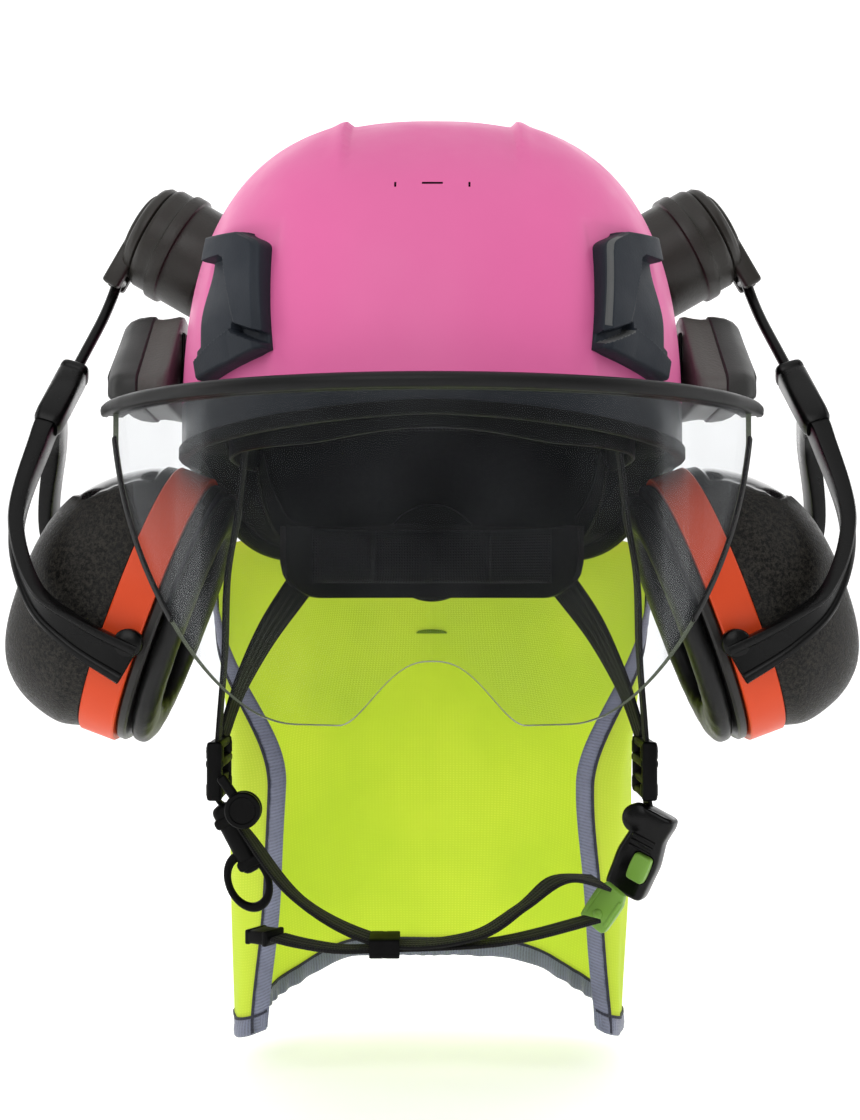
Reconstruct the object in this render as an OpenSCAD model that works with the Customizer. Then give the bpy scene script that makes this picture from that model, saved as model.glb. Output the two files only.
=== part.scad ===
// Arborist helmet: climbing shell, clear visor, ear defenders, chin harness and neck cape.
// Origin: centre of the head opening at the front rim's level.
// +X is the wearer's left, -Y is the front, +Z is up.

/* [Shell] */
// Half the shell's width
shell_half_w = 110; // [106:1:112]
// Shell from the centre to its front
shell_front = 140; // [136:1:143]
// Shell from the centre to its back
shell_back = 142; // [138:1:146]
// Height of the crown above the front rim
crown_z = 138; // [130:1:140]
// Shell wall
shell_wall = 2.6; // [2:0.1:3.2]
// Drop of the rim at the nape
nape_drop = 48; // [42:1:52]
// Foam liner thickness
liner_wall = 16; // [12:1:18]

/* [Visor] */
// Radius of the curved lens
lens_r = 139; // [137:1:141]
// Thickness of the lens
lens_wall = 2.2; // [1.8:0.1:2.6]
// Depth of the lens below the frame, at the cheeks
lens_drop = 113; // [100:1:118]
// Half angle that the brow bar spans
bar_angle = 76; // [74:1:78]
// Height of the visor pivot
pivot_z = 35; // [33:1:37]

/* [Ear defenders] */
// Radius of the pivot drum
drum_r = 25; // [23:1:26]
// Upward tilt of the drum's axis
drum_tilt = 30; // [28:1:32]
// Half height of a cup
cup_half_h = 61; // [58:1:62]
// Half width of a cup
cup_half_w = 46; // [43:1:47]
// Lean of an open cup
cup_lean = 20.6; // [18:0.2:22]
// Radius of the steel rod
rod_r = 2.5; // [2:0.1:3]

/* [Harness] */
// Width of the webbing
web_w = 15; // [13:1:16]
// Thickness of the webbing
web_t = 1.8; // [1.4:0.1:2.2]
// Radius of the fit dial
dial_r = 22; // [20:1:23]

/* [Cape] */
// Height of the hem under the origin, at the back
cape_hem = 259; // [240:1:270]
// Thickness of the cloth solid
cape_wall = 2; // [1.6:0.2:2.4]

/* [Hidden] */
$fn = 48;

LEFT = -1;               // the side at -X
RIGHT = 1;               // the side at +X
PLAN_POWER = 2.35;       // squareness of the shell seen from above
DOME_POWER = 2.88;       // squareness of the shell seen from the side
DOME_BASE = -8;          // height where the shell's walls turn upright
GAP = 0.3;               // clearance between pieces of different bodies
RUN = 0.05;              // radial clearance of a pin in its hole
CAPE_TOP = -38;          // upper edge of the cape, behind the nape

lens_c = [0, -26];       // axis of the curved lens
bar_z = 9.7;             // middle of the brow bar
arm_in = 112;            // inner face of a visor side arm
arm_out = 139;           // outer face of a visor side arm
pin_r = 4;               // visor pivot pin
drum_c = [115, 30, 93];  // middle of a pivot drum
cup_c = [126, -10, -71]; // middle of a cup
tip_pin_r = 2.5;         // fork pin
dial_y = 96.2;           // front face of the dial housing
dial_z = -46;            // height of the dial's axis

// ---------- helpers ----------

function pw(v, e) = sign(v) * pow(abs(v), e);

// A point of the shell at plan angle a and dome angle s, sunk by d
function dome(a, s, d = 0) =
    let (r = pow(cos(s), 2 / DOME_POWER))
    [(shell_half_w - d) * pw(cos(a), 2 / PLAN_POWER) * r,
     ((sin(a) < 0 ? shell_front : shell_back) - d) * pw(sin(a), 2 / PLAN_POWER) * r,
     DOME_BASE + (crown_z - DOME_BASE - d) * pow(sin(s), 2 / DOME_POWER)];

// The dome angle at which the shell stands at height z
function dome_s(z, d = 0) =
    z <= DOME_BASE ? 0 : asin(pow((z - DOME_BASE) / (crown_z - DOME_BASE - d), DOME_POWER / 2));

// A point of the shell at plan angle a and height z
function wall(a, z, d = 0) = let (p = dome(a, dome_s(z, d), d)) [p.x, p.y, z];

function smooth(t) = let (c = min(1, max(0, t))) c * c * (3 - 2 * c);

// Height of the rim: arched over the brow, lower at the temples, down to the nape behind the ears
function rim_z(a) =
    (sin(a) < 0 ? 2 - 10 * pow(abs(cos(a)), 1.2) : -8) - (nape_drop - 8) * smooth((sin(a) + 0.02) / 0.8);

// Triangles that close a ring of n points, pairing the points from both its ends
function cap(n) = [for (i = [0:floor((n - 3) / 2)]) let (j = n - 1 - i)
    each (j - 1 == i + 1 ? [[i, i + 1, j]] : [[i, i + 1, j - 1], [i, j - 1, j]])];

// Closed solid through a stack of rings of equal length, capped at both ends.
// A ring runs counterclockwise, seen from the end that the stack grows towards.
module loft(rings) {
    n = len(rings[0]);
    m = len(rings);
    polyhedron(
        points = [for (r = rings) each r],
        faces = [
            each cap(n),
            for (k = [0:m - 2], i = [0:n - 1])
                each let (a = k * n + i, b = k * n + (i + 1) % n)
                    [[a, a + n, b + n], [a, b + n, b]],
            for (t = cap(n)) [for (q = [2:-1:0]) (m - 1) * n + t[q]]
        ],
        convexity = 6);
}

// Closed solid through a stack of rings whose last ring joins the first, like a hose bent to a loop
module loft_loop(rings) {
    n = len(rings[0]);
    m = len(rings);
    polyhedron(
        points = [for (r = rings) each r],
        faces = [for (k = [0:m - 1], i = [0:n - 1])
            each let (a = k * n + i, b = k * n + (i + 1) % n,
                      c = ((k + 1) % m) * n + i, d = ((k + 1) % m) * n + (i + 1) % n)
                [[a, c, d], [a, d, b]]],
        convexity = 6);
}

function unit(v) = v / norm(v);

// Smooth curve through hand-chosen points
function spline_at(p, i, t) =
    let (n = len(p) - 1, a = p[max(0, i - 1)], b = p[i], c = p[min(n, i + 1)], d = p[min(n, i + 2)])
    0.5 * (2 * b + (c - a) * t + (2 * a - 5 * b + 4 * c - d) * t * t + (3 * b - a - 3 * c + d) * t * t * t);

function spline(p, steps) =
    [for (i = [0:len(p) - 2], j = [0:steps - 1]) spline_at(p, i, j / steps), p[len(p) - 1]];

function tangent(p, i) = unit(p[min(len(p) - 1, i + 1)] - p[max(0, i - 1)]);

// Flat strap along a route; its broad side faces the given direction
module strap(route, w, t, face, steps = 4) {
    p = spline(route, steps);
    f = spline(face, steps);
    loft([for (i = [0:len(p) - 1])
        let (g = tangent(p, i), side = unit(cross(g, f[i])), up = unit(cross(side, g)))
        [p[i] + side * w / 2 + up * t / 2, p[i] + side * w / 2 - up * t / 2,
         p[i] - side * w / 2 - up * t / 2, p[i] - side * w / 2 + up * t / 2]]);
}

// Bar of oval section along a route
module bar(route, rw, rt, face, steps = 3, sides = 10) {
    p = spline(route, steps);
    loft([for (i = [0:len(p) - 1])
        let (g = tangent(p, i), side = unit(cross(g, face)), up = unit(cross(side, g)))
        [for (k = [0:sides - 1])
            p[i] + side * rw * cos(-360 * k / sides) + up * rt * sin(-360 * k / sides)]]);
}

// Mirrors what is drawn for the right side (+X) onto the left
module on(side) {
    if (side == LEFT) mirror([1, 0, 0]) children();
    else children();
}

// The drum's frame on the right: +Z outward along its axis
module at_drum() { translate(drum_c) rotate([0, 90 - drum_tilt, 0]) children(); }

// The cup's frame on the right: +Z outward, -X up along the cup
module at_cup() { translate(cup_c) rotate([0, 90 - cup_lean, 0]) children(); }

// Section of a cup: an egg of the given half height and half width, upper end at -X
function egg(h, w, z, shift = 0, n = 40) =
    [for (i = [0:n - 1]) let (a = -360 * i / n)
        [shift - h * pw(cos(a), 0.9), w * pw(sin(a), 0.9), z]];

// Closed ring between two egg-shaped outlines
module egg_ring(h, w, wall_t, z0, z1) {
    difference() {
        loft([egg(h, w, z0), egg(h, w, z1)]);
        loft([egg(h - wall_t, w - wall_t, z0 - 1), egg(h - wall_t, w - wall_t, z1 + 1)]);
    }
}

// ---------- shell and inside ----------

// Dome-shaped cup between two depths under the shell's outer surface
module dome_cup(d0, d1, n, rows, low) {
    rings = [
        for (k = [0:1]) [for (i = [0:n - 1]) let (a = 360 * i / n, z = rim_z(a) + low)
            wall(a, z + k * (10 - z) * 0.5, d0)],
        for (k = [0:rows - 1]) [for (i = [0:n - 1])
            dome(360 * i / n, dome_s(10, d0) + (86 - dome_s(10, d0)) * k / (rows - 1), d0)],
        for (k = [rows - 1:-1:0]) [for (i = [0:n - 1])
            dome(360 * i / n, dome_s(10, d1) + (86 - dome_s(10, d1)) * k / (rows - 1), d1)],
        for (k = [1:-1:0]) [for (i = [0:n - 1]) let (a = 360 * i / n, z = rim_z(a) + low)
            wall(a, z + k * (10 - z) * 0.5, d1)]
    ];
    loft_dome(rings, rows + 1);
}

// The shell's outer form as a solid, for shaping what sits against it
module shell_form(d) {
    n = 48;
    loft([for (k = [0:8]) [for (i = [0:n - 1])
        let (a = 360 * i / n, p = dome(a, 84 * max(0, k - 1) / 7, d)) [p.x, p.y, k == 0 ? -60 : p.z]]]);
}

// Two skins joined at the rim, each closed at its crown
module loft_dome(rings, top) {
    n = len(rings[0]);
    m = len(rings);
    polyhedron(
        points = [for (r = rings) each r],
        faces = [
            for (k = [0:m - 1], i = [0:n - 1]) if (k != top)
                each let (a = k * n + i, b = k * n + (i + 1) % n,
                          c = ((k + 1) % m) * n + i, d = ((k + 1) % m) * n + (i + 1) % n)
                    [[a, c, d], [a, d, b]],
            [for (i = [n - 1:-1:0]) top * n + i],
            [for (i = [0:n - 1]) (top + 1) * n + i]
        ],
        convexity = 6);
}

module outer_shell() {
    color("hotpink") difference() {
        dome_cup(0, shell_wall, 64, 10, 0);
        for (side = [LEFT, RIGHT]) on(side) translate([100, -10, 26]) cube([20, 20, 16]);
    }
}

module inner_liner() {
    color("dimgray") dome_cup(shell_wall + 0.4, shell_wall + 0.4 + liner_wall, 40, 7, 6);
}

// Flat-topped oval ring inside the liner, between two sinks under the shell
module oval_band(d0, d1, z0, z1, a0, a1, n) {
    translate([0, 0, z0]) linear_extrude(z1 - z0) polygon([
        for (i = [0:n]) let (p = wall(a0 + (a1 - a0) * i / n, 0, d0)) [p.x, p.y],
        for (i = [n:-1:0]) let (p = wall(a0 + (a1 - a0) * i / n, 0, d1)) [p.x, p.y]
    ]);
}

BAND_SINK = shell_wall + liner_wall + 1.4;

module headband() {
    color("#1b1b1d") oval_band(BAND_SINK, BAND_SINK + 2, -8, 14, -200, 20, 44);
}

module brow_pad() {
    color("#262628") oval_band(BAND_SINK + 2.2, BAND_SINK + 9, -5, 20, -140, -40, 24);
}

module crown_pad() {
    color("#2c2c2e") intersection() {
        dome_cup(BAND_SINK, BAND_SINK + 6, 32, 5, 6);
        union() {
            translate([-11, -90, 60]) cube([22, 180, 80]);
            translate([-46, -60, 60]) cube([18, 120, 80]);
            translate([28, -60, 60]) cube([18, 120, 80]);
        }
    }
}

// Side strips that join the headband to the nape cradle
module rack(side) {
    color("#1b1b1d") on(side) strap(
        [[82.8, 44, -2], [81, 60, -18], [74, 76, -34], [60, 88, -46]], 12, 2,
        [[1, 0.2, 0], [1, 0.4, 0], [0.9, 0.6, 0], [0.7, 0.9, 0]]);
}

module nape_cradle() {
    color("#161618") difference() {
        translate([0, 0, -69]) linear_extrude(38) intersection() {
            difference() {
                resize_oval(84, 96);
                resize_oval(80.5, 92.5);
            }
            translate([-74, 40]) square([148, 70]);
        }
        for (x = [-36, 36])
            translate([x, 60, -49]) rotate([-90, 0, 0]) cylinder(r = 7, h = 40);
    }
}

// Oval outline by its half sizes
module resize_oval(rx, ry) {
    polygon([for (i = [0:71]) [rx * pw(cos(5 * i), 0.92), ry * pw(sin(5 * i), 0.92)]]);
}

module dial_housing() {
    color("#161618") difference() {
        translate([0, dial_y, dial_z]) rotate([-90, 0, 0]) cylinder(r = dial_r + 3, h = 9);
        translate([0, dial_y + 3.5, dial_z]) rotate([-90, 0, 0]) cylinder(r = dial_r + 0.5, h = 9);
        translate([0, dial_y - 2, dial_z]) rotate([-90, 0, 0]) cylinder(r = 4 + RUN, h = 9);
    }
}

module size_dial() {
    color("#202022") difference() {
        union() {
            translate([0, dial_y + 4, dial_z]) rotate([-90, 0, 0]) cylinder(r = dial_r, h = 11);
            translate([0, dial_y + 0.5, dial_z]) rotate([-90, 0, 0]) cylinder(r = 4, h = 5);
        }
        for (i = [0:17])
            translate([0, dial_y + 7, dial_z]) rotate([0, 20 * i, 0])
                translate([dial_r + 0.6, 0, 0]) rotate([-90, 0, 0]) cylinder(r = 1.6, h = 12);
    }
}

module nape_pad() {
    color("#2c2c2e") translate([0, 0, -62]) linear_extrude(28) intersection() {
        difference() {
            resize_oval(80.2, 92.2);
            resize_oval(75, 87);
        }
        translate([-60, 40]) square([120, 70]);
    }
}

// ---------- lamp clips ----------

// Clip that hugs the shell: base, hook block at the top and wedge foot, with a strap slot between
module lamp_clip(a0, a1, z0, z1, side) {
    n = 6;
    high = 8;
    low = 3;
    profile = [[z1, high], [z1 - 14, high], [z1 - 15, low], [z0 + 15, low], [z0 + 12, high], [z0, high - 2]];
    m = len(profile) - 1;
    color("#2e3238") on(side) loft([for (i = [0:n]) let (a = a0 + (a1 - a0) * i / n)
        [for (q = profile) wall(a, q[0], -q[1]), for (k = [m:-1:0]) wall(a, profile[k][0], -1.3)]]);
}

module front_clip(side) { lamp_clip(-56, -36, 17, 75, side); }
module rear_clip(side) { lamp_clip(46, 60, 22, 60, side); }

// ---------- mounts at the sides ----------

// Block in the accessory slot that holds the visor pivot pin
module visor_mount(side) {
    color("#141416") on(side) union() {
        translate([107.3, -9.8, 26.2]) cube([4, 19.6, 15.6]);
        translate([110.3, -13, 20]) cube([1.4, 26, 30]);
        translate([111, 0, pivot_z]) rotate([0, 90, 0]) cylinder(r = pin_r, h = 24);
    }
}

// Drum that carries the ear defender's arm
module ear_mount(side) {
    color("#1f1f1f") on(side) difference() {
        union() {
            at_drum() translate([0, 0, -16]) cylinder(r = drum_r, h = 34);
            at_drum() translate([0, 0, 3]) cylinder(r = drum_r + 1.6, h = 6);
        }
        shell_form(-0.8);
        at_drum() translate([0, 0, 6]) cylinder(r = 6 + RUN, h = 14);
    }
}

module strap_anchors() {
    color("#0f0f10") for (side = [LEFT, RIGHT]) on(side) {
        translate([81.2, -42, 0]) rotate([0, 90, 0]) cylinder(r = 6, h = 2);
        translate([56, 82, -48]) rotate([-90, 0, 35]) cylinder(r = 5, h = 2);
    }
}

// ---------- visor ----------

function lens_pt(a, z, d = 0) =
    [(lens_r + d) * sin(a), lens_c.y - (lens_r + d) * cos(a), z];

// Lower edge of the lens: nose notch, round cheeks, swept-up sides
function lens_low(a) =
    let (b = abs(a))
    -lens_drop + (lens_drop - 90) * (1 - smooth(pow(b / 14, 1.3))) + lens_drop * smooth((b - 24) / 66) * 1.4;

module visor_lens() {
    n = 36;
    rows = 4;
    function at(i, k, d) = let (a = -70 + 140 * i / n)
        lens_pt(a, (bar_z - 0.5) + (min(-1, lens_low(a)) - (bar_z - 0.5)) * k / rows, d);
    color("#dfe8ea", 0.35) loft([for (i = [0:n])
        [for (k = [0:rows]) at(i, k, 0), for (k = [rows:-1:0]) at(i, k, -lens_wall)]]);
}

module visor_frame() {
    n = 40;
    function edge(a, d, z) = lens_pt(a, z, d);
    color("#30302d") difference() {
        loft([for (i = [0:n]) let (a = -bar_angle + 2 * bar_angle * i / n)
            [edge(a, -5.4, bar_z - 3.1), edge(a, -5.4, bar_z + 3.1), edge(a, 1.5, bar_z + 3.1),
             edge(a, 4, bar_z + 1), edge(a, 3.4, bar_z - 3.1)]]);
        loft([for (i = [0:n]) let (a = -72 + 144 * i / n)
            [edge(a, -lens_wall - 0.2, bar_z - 5), edge(a, -lens_wall - 0.2, bar_z - 0.3),
             edge(a, 0.2, bar_z - 0.3), edge(a, 0.2, bar_z - 5)]]);
    }
}

// Side arm of the visor, from the brow bar back to the pivot
module visor_arm(side) {
    color("#4b4b48") on(side) difference() {
        hull() {
            translate([arm_in, 0, pivot_z]) rotate([0, 90, 0]) cylinder(r = 24, h = arm_out - arm_in - 3);
            translate([arm_in + 3, 0, pivot_z]) rotate([0, 90, 0]) cylinder(r = 20, h = arm_out - arm_in - 3);
            translate([arm_in + 6, -56, bar_z + 4.1]) cube([17, 20, 12]);
        }
        translate([arm_in - 3, 0, pivot_z]) rotate([0, 90, 0]) cylinder(r = pin_r + RUN, h = 27);
    }
}

// ---------- ear defenders ----------

// Hinge of the steel rod, in the drum's frame
knuckle = [27, 22];

module ear_cap(side) {
    color("#1d1d1d") on(side) at_drum() union() {
        difference() {
            translate([0, 0, 18.4]) cylinder(r = drum_r - 1.5, h = 6);
            translate([knuckle.x - 3.8, -8.3, 10]) cube([14, 8.6, 30]);
        }
        translate([0, 0, 24.4]) cylinder(r = 17, h = 2);
        translate([0, 0, 8.4]) cylinder(r = 6, h = 10.4);
        difference() {
            translate([8, -13, 18.4]) cube([23, 18, 8.6]);
            translate([knuckle.x - 3.8, -8.3, 10]) cube([14, 8.6, 30]);
        }
        translate([knuckle.x, -12, knuckle.y]) rotate([-90, 0, 0]) cylinder(r = 1.6, h = 16);
    }
}

ROD = [[147.55, 26, 80.62], [150, 24, 72], [153, 16, 60], [158, 4, 44]];
ROD_DIR = unit(ROD[3] - ROD[2]);

module arm_rod(side) {
    color("#26272a") on(side) difference() {
        union() {
            bar(ROD, rod_r, rod_r, [1, 0, 0.5], 3, 12);
            translate(ROD[3]) orient(ROD_DIR) cylinder(r = rod_r, h = 36);
            translate(ROD[0] - [0, 4, 0]) rotate([-90, 0, 0]) cylinder(r = 3.4, h = 8);
        }
        translate(ROD[0] - [0, 5, 0]) rotate([-90, 0, 0]) cylinder(r = 1.6 + RUN, h = 10);
    }
}

// Turns +Z to a direction
module orient(v) {
    rotate([0, acos(v.z / norm(v)), atan2(v.y, v.x)]) children();
}

// Fork that carries the cup between its tips
module yoke(side) {
    stem_top = ROD[3] + ROD_DIR * 12;
    color("#101010") on(side) difference() {
        union() {
            translate(stem_top) orient(ROD_DIR) cylinder(r = 6.5, h = 36);
            bar([stem_top + ROD_DIR * 28, [172, -24, 0], [178, -42, -36], [166, -58, -68],
                [146, -64, -85], [124, -64.5, -88]], 7, 3.4, [1, 0, 0.2]);
            bar([stem_top + ROD_DIR * 28, [172, 4, 0], [178, 22, -36], [166, 38, -68],
                [146, 44, -85], [124, 44.5, -88]], 7, 3.4, [1, 0, 0.2]);
            for (y = [-68, 40]) translate([126, y, -87]) rotate([-90, 0, 0]) cylinder(r = 7, h = 8);
            translate([126, -61, -87]) rotate([-90, 0, 0]) cylinder(r = tip_pin_r, h = 8);
            translate([126, 33, -87]) rotate([-90, 0, 0]) cylinder(r = tip_pin_r, h = 8);
        }
        translate(stem_top - ROD_DIR * 2) orient(ROD_DIR) cylinder(r = rod_r + RUN, h = 46);
    }
}

function dome_rings(d) = [
    egg(cup_half_h - d, cup_half_w - d, 8.4 + (d > 0 ? -1 : 0)),
    egg(cup_half_h - d, cup_half_w - d, 16, 2),
    egg(cup_half_h - 4 - d, cup_half_w - 4 - d, 28 - d, 4),
    egg(cup_half_h - 12 - d, cup_half_w - 11 - d, 41 - d, 6),
    egg(cup_half_h - 24 - d, cup_half_w - 21 - d, 50 - d, 8),
    egg(cup_half_h - 38 - d * 0.5, cup_half_w - 32 - d * 0.5, 55.5 - d, 9)];

module cup_dome(side) {
    color("#0c0c0c") on(side) at_cup() difference() {
        loft(dome_rings(0));
        loft(dome_rings(3));
    }
}

module cup_band(side) {
    color("#e04a12") on(side) difference() {
        at_cup() egg_ring(cup_half_h + 1, cup_half_w + 1, 6, -8, 8);
        for (y = [-62, 32]) translate([126, y, -87]) rotate([-90, 0, 0]) cylinder(r = tip_pin_r + RUN, h = 10);
    }
}

module cup_base(side) {
    color("#111111") on(side) at_cup() egg_ring(cup_half_h - 1, cup_half_w - 1, 18, -13, -8.4);
}

module cup_cushion(side) {
    color("#1a1a1a") on(side) at_cup() loft_loop([for (k = [0:9])
        let (u = 360 * k / 10, m = 9.5)
        egg(cup_half_h - 12 + m * pw(cos(u), 0.8), cup_half_w - 12 + m * pw(cos(u), 0.8),
            -18.2 + 4.9 * pw(sin(u), 0.8), 0, 32)]);
}

module cup_foam(side) {
    color("#3a3a3c") on(side) at_cup() loft([
        egg(cup_half_h - 8, cup_half_w - 8, 2), egg(cup_half_h - 8, cup_half_w - 8, 14, 1)]);
}

// ---------- chin harness ----------

SIDE_JOIN = [96, -1, -146];   // where the two side straps meet the chin strap

module front_strap(side) {
    color("#101012") on(side) strap(
        [[79.6, -42, 0], [84, -36, -33], [89, -30, -60], [91, -22, -92], [94, -13, -118], [95.5, -8.5, -132]],
        web_w, web_t, [[1, 0, 0], [1, 0, 0], [1, 0, 0], [1, 0, 0], [1, 0, 0], [1, 0, 0]]);
}

module rear_strap(side) {
    color("#101012") on(side) strap(
        [[58, 81, -52], [68, 72, -66], [80, 50, -86], [90, 28, -110], [95.5, 8.5, -132]],
        web_w + 1, web_t, [[0.6, 0.8, 0], [0.7, 0.7, 0], [0.9, 0.4, 0], [1, 0.1, 0], [1, 0, 0]]);
}

module side_adjuster(side) {
    color("#0c0c0d") on(side) difference() {
        translate(SIDE_JOIN - [4, 19, 12]) cube([8, 38, 26]);
        translate(SIDE_JOIN + [-2.2, -17.5, 6]) cube([4, 35.5, 12]);
        translate(SIDE_JOIN - [1.4, 12, 16]) cube([2.8, 16, 10]);
    }
}

module chin_strap() {
    color("#101012") strap(
        [[-96, -5, -159], [-84, -12, -171], [-57, -40, -197], [-20, -62, -210.6], [16, -62, -208.5],
         [37, -55, -198], [54, -45, -188], [73, -30, -192]],
        web_w, web_t, [[-0.9, -0.1, 0.3], [-0.75, -0.15, 0.6], [-0.45, -0.1, 0.9], [0, 0, 1],
            [0.1, 0, 1], [0.3, -0.05, 0.95], [0.1, -0.3, 0.9], [0.5, -0.6, 0.6]]);
}

module chin_tail() {
    color("#101012") strap(
        [[69, -33, -207], [28, -57, -211.5], [-19, -62, -213], [-38, -60, -214], [-54, -54, -213], [-65, -49, -211.5]],
        web_w - 2, web_t, [[0.4, -0.3, 0.85], [0.1, 0, 1], [0, 0, 1], [0, 0, 1],
            [-0.2, -0.3, 0.9], [-0.3, -0.5, 0.7]]);
}

module strap_keeper() {
    color("#0c0c0d") translate([-19.6, -62, -211.8]) difference() {
        cube([12.5, 20, 8.4], center = true);
        cube([14, 17, 5.6], center = true);
    }
}

module tail_tip() {
    color("#0c0c0d") translate([-71, -45.5, -211.5]) rotate([0, 0, -32]) cube([12, 13, 6], center = true);
}

module cam_roller() {
    color("#0c0c0d") translate([-82.5, -29, -161]) rotate([-90, 0, 0]) cylinder(r = 8, h = 8);
}

module strap_ring() {
    color("#0c0c0d") translate([-81.4, -14, -197.5]) rotate([90, 0, 0]) rotate([0, 0, 12]) scale([0.72, 1, 1])
        rotate_extrude() translate([12, 0]) circle(r = 2.2, $fn = 24);
}

module buckle_body() {
    color("#0c0c0d") difference() {
        translate([93, -14, -181]) rotate([0, 24, -28]) difference() {
            cube([20, 11, 40], center = true);
            translate([0, 0, -14]) cube([14, 7.4, 22], center = true);
        }
        translate([91, -24, -187]) rotate([-90, 0, 0]) cylinder(r = 6 + GAP, h = 12);
    }
}

module release_button() {
    color("#5f9a2a") translate([91, -23, -187]) rotate([-90, 0, 0]) cylinder(r = 6, h = 4.5);
}

module buckle_tongue() {
    color("#6f9c33") translate([75, -26, -203]) rotate([0, 34, -28]) cube([14, 5, 20], center = true);
}

// ---------- cape ----------

// Half outline of the cape seen from above, from its free edge round to the middle of the back
function cape_line(z) =
    let (t = smooth((-z - 52) / 95), low = smooth((-z - 150) / 130))
    spline([
        [108 - 38 * t + 9 * low, 74 - 26 * t + 2 * low],
        [109 - 16 * t, 80 - 24 * t],
        [104 - 5 * t - 6 * low, 91 - 7 * t],
        [87 + t - 8 * low, 107 + 7 * t],
        [45, 138.5 - 4 * t - 2 * low],
        [0, 145.4 - 6 * t - 3 * low]], 4);

module neck_cape() {
    rows = 9;
    function whole(half) = [for (p = half) p, for (i = [len(half) - 2:-1:0]) [-half[i].x, half[i].y]];
    function hang(p, t) = [p.x, p.y, CAPE_TOP + (-cape_hem - CAPE_TOP) * t
        - 22 * t * smooth((abs(p.x) - 40) / 60) - 12 * (1 - t) * smooth((110 - p.y) / 50)];
    function ring(t) =
        let (line = whole(cape_line(CAPE_TOP + (-cape_hem - CAPE_TOP) * t)), n = len(line))
        [for (i = [0:n - 1]) hang(line[i], t),
         for (i = [n - 1:-1:0])
            let (g = tangent(line, i)) hang(line[i] + cape_wall * [-g.y, g.x], t)];
    color("#c1da44") loft([for (k = [rows:-1:0]) ring(k / rows)]);
}

module cape_studs() {
    color("#141416") for (side = [LEFT, RIGHT], a = [76, 52])
        on(side) translate(wall(a, -42, 1.4)) rotate([-90, 0, a - 90]) cylinder(r = 4.5, h = 6);
}

outer_shell();
inner_liner();
headband();
brow_pad();
crown_pad();
nape_cradle();
dial_housing();
nape_pad();
rack(LEFT);  // rack_left
rack(RIGHT);  // rack_right
size_dial();
front_clip(LEFT);  // front_clip_left
front_clip(RIGHT);  // front_clip_right
rear_clip(LEFT);  // rear_clip_left
rear_clip(RIGHT);  // rear_clip_right
visor_mount(LEFT);  // visor_mount_left
visor_mount(RIGHT);  // visor_mount_right
ear_mount(LEFT);  // ear_mount_left
ear_mount(RIGHT);  // ear_mount_right
strap_anchors();
front_strap(LEFT);  // front_strap_left
front_strap(RIGHT);  // front_strap_right
rear_strap(LEFT);  // rear_strap_left
rear_strap(RIGHT);  // rear_strap_right
side_adjuster(LEFT);  // side_adjuster_left
side_adjuster(RIGHT);  // side_adjuster_right
chin_strap();
chin_tail();
strap_keeper();
tail_tip();
cam_roller();
strap_ring();
buckle_body();
buckle_tongue();
release_button();
neck_cape();
cape_studs();
visor_frame();
visor_lens();
visor_arm(LEFT);  // visor_arm_left
visor_arm(RIGHT);  // visor_arm_right
ear_cap(LEFT);  // ear_cap_left
ear_cap(RIGHT);  // ear_cap_right
arm_rod(LEFT);  // arm_rod_left
arm_rod(RIGHT);  // arm_rod_right
yoke(LEFT);  // yoke_left
yoke(RIGHT);  // yoke_right
cup_dome(LEFT);  // cup_dome_left
cup_dome(RIGHT);  // cup_dome_right
cup_band(LEFT);  // cup_band_left
cup_band(RIGHT);  // cup_band_right
cup_base(LEFT);  // cup_base_left
cup_base(RIGHT);  // cup_base_right
cup_cushion(LEFT);  // cup_cushion_left
cup_cushion(RIGHT);  // cup_cushion_right
cup_foam(LEFT);  // cup_foam_left
cup_foam(RIGHT);  // cup_foam_right
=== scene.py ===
# %% [markdown]
# # An arborist's helmet
# A climbing helmet is a bench full of separate pieces: a moulded shell, foam, a clear visor on two side
# arms, ear defenders on sprung rods, a chin harness of woven webbing, and a cloth cape that keeps sawdust
# off the neck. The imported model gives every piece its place. This lesson makes each visible piece again with
# finer form and finish, and hangs it on the body that carries it.

# %% Load the frame
import bmesh
import bpy
import math
import numpy as np
from mathutils import Matrix, Vector


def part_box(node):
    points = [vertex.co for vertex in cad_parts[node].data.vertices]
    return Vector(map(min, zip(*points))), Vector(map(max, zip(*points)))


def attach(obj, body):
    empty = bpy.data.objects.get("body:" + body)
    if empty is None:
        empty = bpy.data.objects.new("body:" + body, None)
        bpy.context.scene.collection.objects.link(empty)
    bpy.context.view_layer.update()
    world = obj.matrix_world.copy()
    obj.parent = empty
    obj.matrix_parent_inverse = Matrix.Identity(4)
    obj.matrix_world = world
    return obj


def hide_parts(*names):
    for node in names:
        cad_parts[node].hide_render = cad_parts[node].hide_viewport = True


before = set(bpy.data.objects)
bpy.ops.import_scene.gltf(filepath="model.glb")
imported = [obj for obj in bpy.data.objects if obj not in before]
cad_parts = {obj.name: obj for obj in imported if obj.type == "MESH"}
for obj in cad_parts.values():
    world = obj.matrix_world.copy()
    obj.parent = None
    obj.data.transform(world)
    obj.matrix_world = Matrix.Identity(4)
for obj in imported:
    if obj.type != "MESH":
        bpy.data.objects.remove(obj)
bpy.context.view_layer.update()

# %% [markdown]
# Lengths below are in millimetres, as on a maker's drawing, and are turned to metres when a mesh is made.
# Most pieces are skins drawn through a stack of rings, so one helper builds them all. It also keeps a map of
# the skin in millimetres, along and around, so that a weave can follow a strap round its bends.

# %% Mesh helpers
MM = 0.001
LEFT, RIGHT = -1, 1
SIDES = {"left": LEFT, "right": RIGHT}


def smooth(t):
    t = np.clip(t, 0, 1)
    return t * t * (3 - 2 * t)


def power(v, e):
    return np.sign(v) * np.abs(v) ** e


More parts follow.
